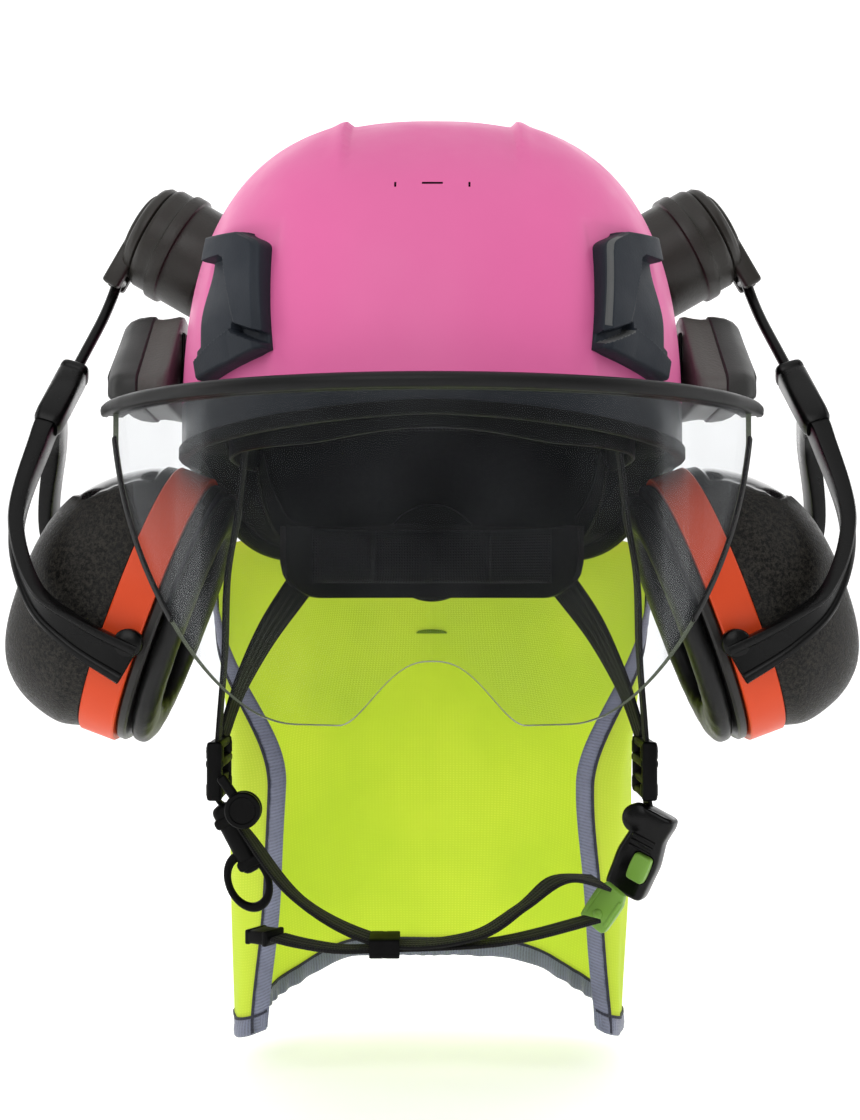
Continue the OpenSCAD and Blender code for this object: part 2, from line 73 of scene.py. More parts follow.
def unit(v):
    v = np.asarray(v, float)
    return v / np.maximum(np.linalg.norm(v, axis=-1, keepdims=True), 1e-9)


def curve(points, count):
    """A smooth line of that many points through a few chosen ones."""
    p = np.asarray(points, float)
    t = np.linspace(0, len(p) - 1 - 1e-9, count)
    i = t.astype(int)
    f = (t - i)[:, None]
    a, b, c, d = (p[np.clip(i + k, 0, len(p) - 1)] for k in (-1, 0, 1, 2))
    return 0.5 * (2 * b + (c - a) * f + (2 * a - 5 * b + 4 * c - d) * f**2 + (3 * b - a - 3 * c + d) * f**3)


def skin(name, rings, closed=True, caps=True, loop=False):
    """A mesh through rings of equal length; closed joins each ring, loop joins the last ring to the first."""
    rings = np.asarray(rings, float)
    m, n = rings.shape[:2]
    around = n if closed else n - 1
    along = m if loop else m - 1
    k, i = np.meshgrid(np.arange(along), np.arange(around), indexing="ij")
    a, b = k * n + i, k * n + (i + 1) % n
    c, d = ((k + 1) % m) * n + i, ((k + 1) % m) * n + (i + 1) % n
    faces = np.stack([a, b, d, c], -1).reshape(-1, 4).tolist()
    if caps and closed and not loop:
        faces += [list(range(n - 1, -1, -1)), list(range((m - 1) * n, m * n))]
    mesh = bpy.data.meshes.new(name)
    mesh.from_pydata((rings.reshape(-1, 3) * MM).tolist(), [], faces)
    step_v = np.linalg.norm(np.diff(rings, axis=0), axis=2).mean(1)
    step_u = np.linalg.norm(np.diff(rings, axis=1), axis=2).mean(0)
    v = np.concatenate([[0], np.cumsum(step_v)]) / 10
    u = np.concatenate([[0], np.cumsum(step_u)]) / 10
    layer = mesh.uv_layers.new(name="cloth_map")
    index = np.zeros(len(mesh.loops), int)
    mesh.loops.foreach_get("vertex_index", index)
    layer.data.foreach_set("uv", np.stack([u[index % n], v[index // n]], -1).ravel())
    if closed and (caps or loop):
        shape = bmesh.new()
        shape.from_mesh(mesh)
        bmesh.ops.recalc_face_normals(shape, faces=shape.faces)
        shape.to_mesh(mesh)
        shape.free()
    obj = bpy.data.objects.new(name, mesh)
    bpy.context.scene.collection.objects.link(obj)
    return obj


def soften(obj, angle=40):
    obj.data.shade_smooth()
    obj.data.set_sharp_from_angle(angle=math.radians(angle))
    return obj


def joined(name, parts):
    """One object out of several."""
    bpy.ops.object.select_all(action="DESELECT")
    for part in parts:
        part.select_set(True)
    bpy.context.view_layer.objects.active = parts[0]
    bpy.ops.object.join()
    parts[0].name = parts[0].data.name = name
    return parts[0]


def modify(obj, kind, **settings):
    modifier = obj.modifiers.new(kind.lower(), kind)
    for key, value in settings.items():
        setattr(modifier, key, value)
    return obj


def placed(obj, material, body, slot, *nodes, angle=40):
    """Finishes a piece: material, smooth shading, the body it moves with, the CAD nodes it stands for."""
    obj.data.materials.clear()
    obj.data.materials.append(material)
    soften(obj, angle)
    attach(obj, body)
    if nodes:
        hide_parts(*nodes)
    return obj


def flipped(rings):
    """The same rings on the other side of the helmet, with the skin still facing out."""
    rings = np.array(rings, float)
    rings[..., 0] *= -1
    return rings[:, ::-1]


def sided(rings, side):
    return np.asarray(rings, float) if side == RIGHT else flipped(rings)


def onto(side, obj):
    """Leaves a piece made for the right side, or mirrors it to the left."""
    if side == LEFT:
        obj.data.transform(Matrix.Scale(-1, 4, (1, 0, 0)))
        obj.data.flip_normals()
    return obj


def swept(route, section, face, count=60, scale=None):
    """Rings of a section carried along a route; face says which way the section's second axis looks."""
    p = curve(route, count)
    f = curve(face, count) if np.ndim(face) > 1 else np.tile(np.asarray(face, float), (count, 1))
    g = unit(np.gradient(p, axis=0))
    side = unit(np.cross(g, f))
    up = unit(np.cross(side, g))
    s = np.asarray(section, float)
    grow = np.ones((count, 2)) if scale is None else curve(scale, count)
    return (p[:, None] + side[:, None] * (s[None, :, :1] * grow[:, None, :1])
            + up[:, None] * (s[None, :, 1:] * grow[:, None, 1:]))[:, ::-1]


def rounded(width, thick, n=20, squareness=0.45):
    """A soft-cornered section."""
    a = np.linspace(0, 2 * np.pi, n, endpoint=False)
    return np.stack([width / 2 * power(np.cos(a), squareness), thick / 2 * power(np.sin(a), squareness)], -1)


def lathe(profile, n=72):
    """Rings of a turned piece about +Z from (radius, height) pairs."""
    a = np.linspace(0, 2 * np.pi, n, endpoint=False)
    return np.array([[(r * np.cos(t), r * np.sin(t), z) for t in a] for r, z in profile])


def moved(rings, turn=np.eye(3), to=(0, 0, 0)):
    return np.asarray(rings, float) @ np.asarray(turn, float).T + np.asarray(to, float)


def about_y(degrees):
    c, s = math.cos(math.radians(degrees)), math.sin(math.radians(degrees))
    return np.array([[c, 0, s], [0, 1, 0], [-s, 0, c]])


def block(size, centre, turn=np.eye(3), bevel=1.0, name="block"):
    """A moulded block with rounded edges."""
    w, d, h = np.asarray(size, float) / 2
    ring = np.array([[-w, -d], [w, -d], [w, d], [-w, d]])
    rings = [[(x, y, z) for x, y in ring] for z in (-h, h)]
    obj = skin(name, moved(rings, turn, centre))
    modify(obj, "BEVEL", width=bevel * MM, segments=3, limit_method="ANGLE", angle_limit=math.radians(30))
    return baked(obj)


def baked(obj):
    """Applies an object's modifiers."""
    evaluated = obj.evaluated_get(bpy.context.evaluated_depsgraph_get())
    mesh = bpy.data.meshes.new_from_object(evaluated)
    obj.modifiers.clear()
    obj.data = mesh
    return obj


print("helpers ready")

# %% [markdown]
# ## Finishes
# Moulded plastic is never one flat colour. The tool leaves a fine grain, handling leaves the gloss a little
# uneven, and pigment drifts slightly. A single builder makes all the plastics: noise in three sizes drives
# the bump, the roughness and the colour, and each plastic sets its own amounts.

# %% Material builder
def shade(name, rough, **constants):
    material = bpy.data.materials.new(name)
    material.use_nodes = True
    shader = material.node_tree.nodes["Principled BSDF"]
    shader.inputs["Roughness"].default_value = rough
    for key, value in constants.items():
        shader.inputs[key.replace("_", " ")].default_value = value
    return material, material.node_tree.nodes, material.node_tree.links, shader


def link_noise(nodes, links, scale, detail=3.0, source="Object", rough=0.5):
    where = nodes.new("ShaderNodeTexCoord")
    tex = nodes.new("ShaderNodeTexNoise")
    tex.inputs["Scale"].default_value = scale
    tex.inputs["Detail"].default_value = detail
    tex.inputs["Roughness"].default_value = rough
    links.new(where.outputs[source], tex.inputs["Vector"])
    return tex.outputs["Fac"]


def remap(nodes, links, value, low, high, start=0.3, end=0.7):
    node = nodes.new("ShaderNodeMapRange")
    node.inputs["From Min"].default_value = start
    node.inputs["From Max"].default_value = end
    node.inputs["To Min"].default_value = low
    node.inputs["To Max"].default_value = high
    links.new(value, node.inputs["Value"])
    return node.outputs["Result"]


def mix_colour(nodes, links, factor, first, second):
    node = nodes.new("ShaderNodeMix")
    node.data_type = "RGBA"
    links.new(factor, node.inputs["Factor"])
    for socket, value in ((node.inputs[6], first), (node.inputs[7], second)):
        if isinstance(value, bpy.types.NodeSocket):
            links.new(value, socket)
        else:
            socket.default_value = (*value, 1)
    return node.outputs[2]


def bump(nodes, links, shader, height, distance, strength=1.0, before=None):
    node = nodes.new("ShaderNodeBump")
    node.inputs["Distance"].default_value = distance * MM
    node.inputs["Strength"].default_value = strength
    links.new(height, node.inputs["Height"])
    if before is not None:
        links.new(before, node.inputs["Normal"])
    links.new(node.outputs["Normal"], shader.inputs["Normal"])
    return node.outputs["Normal"]


def moulded(name, colour, rough, grain=0.06, grain_scale=1600, drift=0.12, mirror=0.28, **constants):
    """A moulded plastic: grain, uneven gloss, slight drift of colour; mirror is how much it reflects."""
    material, nodes, links, shader = shade(name, rough, Specular_IOR_Level=mirror, **constants)
    drifted = remap(nodes, links, link_noise(nodes, links, 22), 0, 1)
    dark = tuple(c * (1 - drift) for c in colour)
    light = tuple(min(1, c * (1 + drift)) for c in colour)
    links.new(mix_colour(nodes, links, drifted, dark, light), shader.inputs["Base Color"])
    gloss = remap(nodes, links, link_noise(nodes, links, 60, 5), rough * 0.85, min(1, rough * 1.2))
    links.new(gloss, shader.inputs["Roughness"])
    fine = link_noise(nodes, links, grain_scale, 2)
    bump(nodes, links, shader, fine, grain)
    return material


shell_pink = moulded("satin_pink_shell", (0.68, 0.128, 0.330), 0.46, grain=0.015, grain_scale=700,
                     drift=0.02, mirror=0.22, Coat_Weight=0.05, Coat_Roughness=0.30)
skirt_black = moulded("shell_skirt_black", (0.014, 0.016, 0.020), 0.42, mirror=0.18, grain=0.03,
                      grain_scale=900)
clip_black = moulded("grained_clip", (0.016, 0.020, 0.027), 0.52, mirror=0.16, grain=0.10, grain_scale=1300)
visor_grey = moulded("visor_arm_grain", (0.030, 0.030, 0.029), 0.40, mirror=0.22, grain=0.07,
                     grain_scale=1100)
bar_black = moulded("brow_bar_satin", (0.009, 0.009, 0.009), 0.38, mirror=0.14, grain=0.05, grain_scale=1500)
drum_black = moulded("drum_grain", (0.016, 0.014, 0.011), 0.42, mirror=0.35, grain=0.10, grain_scale=900)
arm_black = moulded("arm_satin", (0.0015, 0.0015, 0.0015), 0.28, mirror=0.18, grain=0.03, grain_scale=1200)
strap_plastic = moulded("harness_plastic_satin", (0.002, 0.002, 0.002), 0.45, mirror=0.09, grain=0.06,
                        grain_scale=1400)
# Painted highlight: a paler grey for the chamfer and the wedge bevel of the front clips, where they catch the
# light.
clip_edge_highlight = moulded("clip_edge_painted_highlight", (0.085, 0.088, 0.088), 0.45, mirror=0.3, grain=0.12, grain_scale=1300)
buckle_black = moulded("buckle_gloss", (0.002, 0.002, 0.002), 0.24, mirror=0.18, grain=0.03, grain_scale=900)
buckle_green = moulded("buckle_green", (0.165, 0.330, 0.045), 0.34, grain=0.03, grain_scale=900, drift=0.08)
band_orange = moulded("cup_band_orange", (0.640, 0.058, 0.010), 0.40, grain=0.03, grain_scale=900,
                      drift=0.06)
cup_gloss = moulded("cup_gloss_black", (0.002, 0.002, 0.002), 0.16, mirror=0.6, grain=0.01, grain_scale=500)
foam_black = moulded("liner_foam", (0.004, 0.004, 0.005), 0.80, mirror=0.05, grain=0.35, grain_scale=420)
ear_foam = moulded("open_cell_foam", (0.010, 0.010, 0.011), 0.95, mirror=0.05, grain=0.9, grain_scale=260)
rod_steel = moulded("coated_spring_steel", (0.006, 0.006, 0.006), 0.25, grain=0.01, grain_scale=600,
                    Metallic=0.6)
rubber_black = moulded("soft_rubber", (0.002, 0.002, 0.002), 0.55, mirror=0.08, grain=0.05, grain_scale=1500)
print("plastics ready")

# %% [markdown]
# Woven and knitted goods need a pattern that follows the cloth. Webbing is a twill of thick threads: a wave
# across the strap crossed with a finer wave along it, read from the map in millimetres that the skins carry.

# %% Cloth materials
def wave(nodes, links, source, axis, period):
    """Threads across one axis of the map, that many centimetres apart."""
    tex = nodes.new("ShaderNodeTexWave")
    tex.bands_direction = axis
    tex.inputs["Scale"].default_value = 0.314 / period
    tex.inputs["Distortion"].default_value = 0
    tex.inputs["Detail"].default_value = 0
    links.new(source, tex.inputs["Vector"])
    return tex.outputs["Fac"]


def combine(nodes, links, kind, first, second):
    node = nodes.new("ShaderNodeMath")
    node.operation = kind
    links.new(first, node.inputs[0])
    if isinstance(second, bpy.types.NodeSocket):
        links.new(second, node.inputs[1])
    else:
        node.inputs[1].default_value = second
    return node.outputs[0]


def woven(name, colour, thread, across, rough=0.8, height=0.25, ribs=0.0, **constants):
    """A weave on the skin's own map: threads in both directions and, for webbing, raised ribs along it."""
    material, nodes, links, shader = shade(name, rough, **constants)
    where = nodes.new("ShaderNodeUVMap")
    where.uv_map = "cloth_map"
    source = where.outputs["UV"]
    warp = wave(nodes, links, source, "X", thread)
    weft = wave(nodes, links, source, "Y", across)
    weave = combine(nodes, links, "MAXIMUM", warp, weft)
    if ribs:
        rib = wave(nodes, links, source, "X", ribs)
        weave = combine(nodes, links, "MULTIPLY_ADD", rib, 1.5)
        links.new(combine(nodes, links, "MULTIPLY", warp, weft), weave.node.inputs[2])
    worn = remap(nodes, links, link_noise(nodes, links, 90, 6), 0, 1)
    dark = tuple(c * 0.55 for c in colour)
    light = tuple(min(1, c * 1.35) for c in colour)
    body = mix_colour(nodes, links, worn, colour, light)
    links.new(mix_colour(nodes, links, remap(nodes, links, weave, 0.0, 1.0, 0.1, 0.8), dark, body),
              shader.inputs["Base Color"])
    bump(nodes, links, shader, weave, height)
    return material


webbing = woven("black_webbing", (0.006, 0.006, 0.006), 0.09, 0.12, 0.72, 0.30, ribs=0.38,
                Specular_IOR_Level=0.12, Sheen_Weight=0.05)
pad_cloth = woven("pad_mesh_cloth", (0.006, 0.006, 0.007), 0.14, 0.14, 0.88, 0.30, Specular_IOR_Level=0.08,
                  Sheen_Weight=0.06)
piping_cloth = woven("grey_blue_piping", (0.165, 0.180, 0.255), 0.07, 0.16, 0.55, 0.20, Sheen_Weight=0.30)
piping_edge = woven("dark_piping_edge", (0.018, 0.020, 0.036), 0.07, 0.16, 0.65, 0.20)


def cape_fabric():
    """Bright safety knit: fine courses, soft folds of tone, some light coming through from behind, and a
    painted glow of its own.
    """
    # Painted glow: the knit emits a little yellow light of its own, standing in for the fluorescence of the
    # dye.
    material, nodes, links, shader = shade("hi_vis_knit", 0.74, Sheen_Weight=0.10,
                                          Emission_Color=(1.0, 0.88, 0.22, 1), Emission_Strength=0.17)
    where = nodes.new("ShaderNodeUVMap")
    where.uv_map = "cloth_map"
    knit = combine(nodes, links, "MULTIPLY", wave(nodes, links, where.outputs["UV"], "X", 0.16),
                   wave(nodes, links, where.outputs["UV"], "Y", 0.13))
    tone = remap(nodes, links, link_noise(nodes, links, 14, 3), 0, 1, 0.38, 0.62)
    body = mix_colour(nodes, links, tone, (0.640, 0.800, 0.045), (0.740, 0.860, 0.090))
    links.new(mix_colour(nodes, links, remap(nodes, links, knit, 0.0, 1.0, 0.25, 0.75),
                         (0.560, 0.720, 0.030), body), shader.inputs["Base Color"])
    folds = link_noise(nodes, links, 28, 3)
    first = bump(nodes, links, shader, folds, 0.8, 0.5)
    bump(nodes, links, shader, knit, 0.12, 0.7, before=first)
    glow = nodes.new("ShaderNodeBsdfTranslucent")
    links.new(body, glow.inputs["Color"])
    both = nodes.new("ShaderNodeMixShader")
    both.inputs["Fac"].default_value = 0.45
    links.new(shader.outputs[0], both.inputs[1])
    links.new(glow.outputs[0], both.inputs[2])
    links.new(both.outputs[0], nodes["Material Output"].inputs["Surface"])
    return material


def clear_lens():
    """A clear lens: nearly all light passes, and the rest mirrors off its two polished faces."""
    material, nodes, links, shader = shade("clear_lens", 0.03, IOR=1.52)
    shader.inputs["Base Color"].default_value = (0.20, 0.21, 0.22, 1)
    through = nodes.new("ShaderNodeBsdfTransparent")
    through.inputs["Color"].default_value = (0.955, 0.962, 0.968, 1)
    facing = nodes.new("ShaderNodeFresnel")
    facing.inputs["IOR"].default_value = 1.36
    mirrored = remap(nodes, links, facing.outputs[0], 0.0, 0.16, 0.02, 1.0)
    haze = remap(nodes, links, link_noise(nodes, links, 40, 6), 0.015, 0.035)
    amount = combine(nodes, links, "ADD", mirrored, haze)
    both = nodes.new("ShaderNodeMixShader")
    links.new(amount, both.inputs["Fac"])
    links.new(through.outputs[0], both.inputs[1])
    links.new(shader.outputs[0], both.inputs[2])
    links.new(both.outputs[0], nodes["Material Output"].inputs["Surface"])
    scuffs = link_noise(nodes, links, 300, 4)
    links.new(remap(nodes, links, scuffs, 0.02, 0.06), shader.inputs["Roughness"])
    return material


def speckled_cup():
    """The cup's dome: a coarse spark-eroded grain whose high points are painted lighter as fine speckle, a
    painted glint.
    """
    material, nodes, links, shader = shade("speckled_cup", 0.40, Specular_IOR_Level=0.16)
    grain = link_noise(nodes, links, 1500, 2, rough=0.7)
    coarse = link_noise(nodes, links, 620, 2)
    height = combine(nodes, links, "ADD", grain, coarse)
    # Painted glint: the grain's high points get a lighter colour that stands in for the light they catch.
    links.new(mix_colour(nodes, links, remap(nodes, links, height, 0, 1, 0.85, 1.25),
                         (0.0006, 0.0006, 0.0006), (0.030, 0.027, 0.022)), shader.inputs["Base Color"])
    links.new(remap(nodes, links, coarse, 0.30, 0.55), shader.inputs["Roughness"])
    bump(nodes, links, shader, height, 0.22)
    return material


hi_vis_knit = cape_fabric()
lens_clear = clear_lens()
lens_edge = moulded("lens_cut_edge", (0.16, 0.18, 0.13), 0.22, grain=0.01, mirror=0.5)
cup_speckle = speckled_cup()
print("cloth and lens ready")

# %% [markdown]
# ## The shell
# The shell is one injection moulding, squarer than an egg both from above and from the side. Its surface is
# a rule: a power curve in plan times a power curve in height. The same rule, sunk by a few millimetres,
# gives the foam, the recesses for the lamp clips and the channel over the crown, so all of them stay
# parallel to the surface.

# %% The shell's surface
HALF_W, FRONT, BACK, CROWN, BASE = 110, 140, 142, 138, -8
PLAN_POWER, DOME_POWER = 2.35, 2.88
SHELL_WALL = 2.6
NAPE_DROP = 48
rad = np.radians


def dome(a, s, d=0.0):
    """A point of the shell at plan angle a and dome angle s, sunk by d."""
    r = np.cos(s) ** (2 / DOME_POWER)
    reach = np.where(np.sin(a) < 0, FRONT, BACK) - d
    return np.stack(np.broadcast_arrays(
        (HALF_W - d) * power(np.cos(a), 2 / PLAN_POWER) * r,
        reach * power(np.sin(a), 2 / PLAN_POWER) * r,
        BASE + (CROWN - BASE - d) * np.sin(s) ** (2 / DOME_POWER)), -1)


def dome_s(z, d=0.0):
    t = np.clip((z - BASE) / (CROWN - BASE - d), 0, 1)
    return np.arcsin(t ** (DOME_POWER / 2))


def wall(a, z, d=0.0):
    """A point of the shell at plan angle a and height z, sunk by d."""
    a, z, d = np.broadcast_arrays(np.asarray(a, float), z, d)
    p = dome(a, dome_s(z, d), d)
    p[..., 2] = z
    return p


def rim_z(a):
    """Height of the rim: arched over the brow, lower at the temples, down to the nape behind the ears."""
    front = np.where(np.sin(a) < 0, 2 - 10 * np.abs(np.cos(a)) ** 1.2, -8)
    return front - (NAPE_DROP - 8) * smooth((np.sin(a) + 0.02) / 0.8)


CLIPS = {"front": (-56, -36, 17, 75), "rear": (46, 60, 22, 60)}


def pocket(a, z):
    """1 inside the shallow pockets that the lamp clips sit in, fading to 0 around them."""
    right = np.degrees(np.arctan2(np.sin(a), np.abs(np.cos(a))))
    inside = 0
    for a0, a1, z0, z1 in CLIPS.values():
        inside = np.maximum(inside, smooth((right - a0 + 3.5) / 3) * smooth((a1 + 3.5 - right) / 3)
                            * smooth((z - z0 + 5) / 4) * smooth((z1 + 5 - z) / 4))
    return inside


def relief(a, p):
    """How deep the outer surface is sunk at a point: pockets, and the stepped channel over the crown."""
    x, y, z = np.abs(p[..., 0]), p[..., 1], p[..., 2]
    high = smooth((z - 92) / 26)
    edge = 35 + 2.0 * smooth((y + 20) / 120)
    channel = 2.0 * smooth((edge - x) / 1.2) * high
    lip = -0.9 * np.exp(-((x - edge - 1.6) / 3.2) ** 2) * high
    return 1.1 * pocket(a, z) + channel + lip


def shell_rings(d, low, lowest_rows, rows, n, shaped):
    a = np.linspace(0, 2 * np.pi, n, endpoint=False)
    rings = []
    for k in range(lowest_rows):
        z = (rim_z(a) + low) * (1 - k / lowest_rows) + 10 * k / lowest_rows
        rings.append((a, wall(a, z, d), z))
    top = dome_s(10.0, d)
    for k in range(rows):
        s = top + (rad(89.5) - top) * k / (rows - 1)
        rings.append((a, dome(a, s, d), None))
    out = []
    for a_, p, z in rings:
        if shaped:
            sink = relief(a_, p)
            p = wall(a_, z, d + sink) if z is not None else p + (dome(a_, dome_s(p[:, 2], d), d + sink)
                                                                 - dome(a_, dome_s(p[:, 2], d), d))
        out.append(p)
    return out


outer = shell_rings(0, 0, 12, 90, 360, True)
inner = shell_rings(SHELL_WALL, 0, 12, 40, 360, False)
lip = [outer[0] * [1, 1, 1] + [0, 0, -0.6] + (inner[0] - outer[0]) * f for f in (0.25, 0.75)]
shell = skin("shell_skin", inner[::-1] + lip[::-1] + outer)


def cut(obj, tool):
    """Cuts one mesh out of another."""
    modify(obj, "BOOLEAN", operation="DIFFERENCE", solver="EXACT", object=tool)
    baked(obj)
    bpy.data.objects.remove(tool)
    return obj


SLOT_Z = 90.0
slit = block((8, 12, 0.9), wall(rad(-90), SLOT_Z).tolist(), bevel=0.2, name="slit")
cut(shell, slit)
for side in (LEFT, RIGHT):
    tick = block((0.8, 8, 2.2), (wall(rad(-90 + 6.0 * side), SLOT_Z - 0.5)).tolist(), bevel=0.2, name="tick")
    cut(shell, tick)
placed(shell, shell_pink, "helmet", "shell", "outer_shell", angle=35)
shell.data.materials.append(rubber_black)
shell.data.materials.append(skirt_black)


def band_top(x, y):
    """Height up to which the shell's skirt is black: behind the brow bar in front, lower towards the nape."""
    a = math.atan2(y, x)
    return 15.5 - (15.5 - float(rim_z(a)) - 9) * float(smooth((math.sin(a) + 0.05) / 0.5))


for face in shell.data.polygons:
    middle = face.center / MM
    inside = face.normal.dot(middle - Vector((0, 0, 20))) < 0
    face.material_index = 1 if inside else 2 * int(middle.z < band_top(middle.x, middle.y))


def edge_trim(n=360):
    """The soft black profile that grips the shell's rim, deeper inside than outside."""
    a = np.linspace(0, 2 * np.pi, n, endpoint=False)
    low = rim_z(a)
    spots = [(-0.9, 3.6), (-1.3, 3.0), (-1.3, -0.6), (-0.6, -1.5), (1.2, -1.9), (3.2, -1.6), (3.9, -0.4),
             (3.9, 5.0), (3.2, 5.6), (2.65, 5.0), (2.65, 0.2), (0.0, 0.2), (0.0, 3.6)]
    return skin("shell_edge_trim", np.stack([wall(a, low + up, d) for d, up in spots], 1), caps=False,
                loop=True)


placed(edge_trim(), rubber_black, "helmet", "rubber_trim", angle=40)
print("shell faces:", len(shell.data.polygons))

# %% [markdown]
# Foam under the shell takes the blow. It is a second dome, sixteen millimetres thick, and its inner face has
# air channels from front to back. The rim is softened so that the edge reads as cut foam.

# %% Foam liner
def foam_liner():
    def rings(d, shaped):
        out = shell_rings(d, 6, 6, 40, 160, False)
        if shaped:
            for p in out:
                x = np.abs(p[:, 0])
                groove = sum(np.exp(-((x - c) / 6.5) ** 4) for c in (20.0, 58.0))
                p += unit(p - [0, 0, 10]) * (4.0 * groove * smooth((p[:, 2] - 10) / 30))[:, None]
        return out
    outer_face, inner_face = rings(3.2, False), rings(19.0, True)
    edge = [outer_face[0] + (inner_face[0] - outer_face[0]) * f + [0, 0, -1.2] for f in (0.12, 0.88)]
    return skin("foam_liner", inner_face[::-1] + edge[::-1] + outer_face)


liner = placed(foam_liner(), foam_black, "helmet", "foam_liner", "inner_liner")
print("liner faces:", len(liner.data.polygons))

# %% [markdown]
# The harness inside is a band round the head, a padded brow, padded strips over the crown and a cradle that
# grips the nape. The pads are cloth over foam, crowned between their seams.

# %% Headband and pads
def oval_route(d, start, end, count, z):
    a = rad(np.linspace(start, end, count))
    p = wall(a, 0.0, d)
    return np.stack([p[:, 0], p[:, 1], np.full(count, float(z))], -1)


def band(name, d0, d1, z0, z1, start, end, count=160, wave_of=None):
    """A flat band inside the shell between two sinks; wave_of(t) lifts its lower edge."""
    outside, inside = oval_route(d0, start, end, count, 0), oval_route(d1, start, end, count, 0)
    low = z0 + (wave_of(np.linspace(0, 1, count)) if wave_of else np.zeros(count))
    corner = 0.25
    spots = [(0, 0, corner), (0, 1, -corner), (corner, 1, 0), (1 - corner, 1, 0),
             (1, 1, -corner), (1, 0, corner), (1 - corner, 0, 0), (corner, 0, 0)]
    rings = []
    for across, up, shift in spots:
        p = outside + (inside - outside) * across
        p[:, 2] = low + (z1 - low) * up + shift * 2
        rings.append(p)
    return skin(name, np.stack(rings, 1))


headband = band("headband_strip", 20, 22, -8, 14, -200, 20,
                wave_of=lambda t: 5 * smooth(1 - np.abs(t - 0.5) * 7))
placed(headband, strap_plastic, "helmet", "harness_plastic", "headband")


def crowned(name, outline, face, out, swell, n=28, rows=14, seams=()):
    """A padded form: its back follows a base surface, its face is crowned and pinched at the seams."""
    u, v = np.meshgrid(np.linspace(0, 1, n), np.linspace(0, 1, rows), indexing="ij")
    edge = (1 - np.abs(2 * u - 1) ** 4) ** 0.5 * (1 - np.abs(2 * v - 1) ** 3) ** 0.6
    for seam in seams:
        edge = edge * (1 - 0.6 * np.exp(-((u - seam) / 0.012) ** 2))
    base = outline(u, v)
    back = base + out(u, v) * 0.6 * edge[..., None]
    front = base + face(u, v) * (swell * edge + 0.5)[..., None]
    return skin(name, np.concatenate([front, back[:, ::-1]], 1))


def brow_base(u, v):
    a = rad(-138 + 96 * u)
    p = wall(a, 0.0, 22.6)
    p[..., 2] = -4 + 23 * v
    return p


inward = lambda u, v: -unit(brow_base(u, v) * [1, 1, 0])
brow = crowned("brow_pad_cloth", brow_base, inward, lambda u, v: -inward(u, v), 6.2, n=140, rows=24,
               seams=(0.16, 0.33, 0.5, 0.67, 0.84))
placed(brow, pad_cloth, "helmet", "pad_cloth", "brow_pad", angle=60)


def crown_strip(x0, x1, reach, name):
    def base(u, v):
        y = (2 * u - 1) * reach
        x = x0 + (x1 - x0) * v
        d = 20.5
        plan = (np.abs(x) / (HALF_W - d)) ** PLAN_POWER + (np.abs(y) / (FRONT - d)) ** PLAN_POWER
        rr = plan ** (1 / PLAN_POWER)
        z = BASE + (CROWN - BASE - d) * np.clip(1 - rr ** DOME_POWER, 0, 1) ** (1 / DOME_POWER)
        return np.stack([x, y, z], -1)
    down = lambda u, v: -unit(base(u, v) - [0, 0, 20])
    return crowned(name, base, down, lambda u, v: -down(u, v), 5.0, n=90, rows=14, seams=(0.25, 0.5, 0.75))


crown = joined("crown_pad_strips", [crown_strip(-10.5, 10.5, 88, "strip_middle"),
                                    crown_strip(-45.5, -28.5, 58, "strip_left"),
                                    crown_strip(28.5, 45.5, 58, "strip_right")])
placed(crown, pad_cloth, "helmet", "pad_cloth", "crown_pad", angle=60)
print("headband, brow pad and crown strips made")

# %% [markdown]
# The nape cradle is a springy plate with two windows, with a dial at its middle that winds it in. The dial's
# rim is knurled so that a gloved hand can turn it.

# %% Nape cradle and dial
DIAL_Y, DIAL_Z = 96.2, -46


def arc_plate(name, rx, ry, thick, x_limit, z_low, z_high, count=140):
    """A bent plate following an oval, with its lower corners rounded off."""
    t = np.linspace(-1, 1, count)
    x = t * x_limit
    y = ry * np.clip(1 - np.abs(x / rx) ** (2 / 0.92), 0, 1) ** (0.92 / 2)
    out = unit(np.stack([x / rx**2, y / ry**2, np.zeros(count)], -1))
    p = np.stack([x, y, np.zeros(count)], -1)
    low = z_low + 17 * (1 - np.sqrt(np.clip(1 - np.clip((np.abs(t) - 0.76) / 0.24, 0, 1) ** 2, 0, 1)))
    high = z_high - 3 * smooth(np.abs(t) * 1.2 - 0.1)
    e = min(0.5, thick * 0.3)
    spots = [(0, 0, e), (0, 1, -e), (-e, 1, 0), (e - thick, 1, 0), (-thick, 1, -e), (-thick, 0, e),
             (e - thick, 0, 0), (-e, 0, 0)]
    rings = [np.concatenate([(p + out * sink)[:, :2], (low + (high - low) * up + lift)[:, None]], 1)
             for sink, up, lift in spots]
    return skin(name, np.stack(rings, 1))


cradle = arc_plate("nape_cradle_plate", 84, 96, 3.5, 73.5, -69, -31)
for side in (LEFT, RIGHT):
    hole = skin("window", moved(lathe([(6.8, -25), (6.8, 25)], 40), [[1, 0, 0], [0, 0, 1], [0, -1, 0]],
                                (side * 36, 80, -49)))
    cut(cradle, hole)
placed(cradle, strap_plastic, "helmet", "harness_plastic", "nape_cradle")


def nape_base(u, v):
    x = (2 * u - 1) * 59
    y = 92.2 * np.clip(1 - np.abs(x / 80.2) ** (2 / 0.92), 0, 1) ** 0.46
    return np.stack([x, y, -61.5 + 27 * v], -1)


nape_in = lambda u, v: -unit(nape_base(u, v) * [1, 1, 0])
nape = crowned("nape_pad_cloth", nape_base, nape_in, lambda u, v: -nape_in(u, v), 5.0, n=100, rows=22,
               seams=(0.25, 0.5, 0.75))
placed(nape, pad_cloth, "helmet", "pad_cloth", "nape_pad", angle=60)

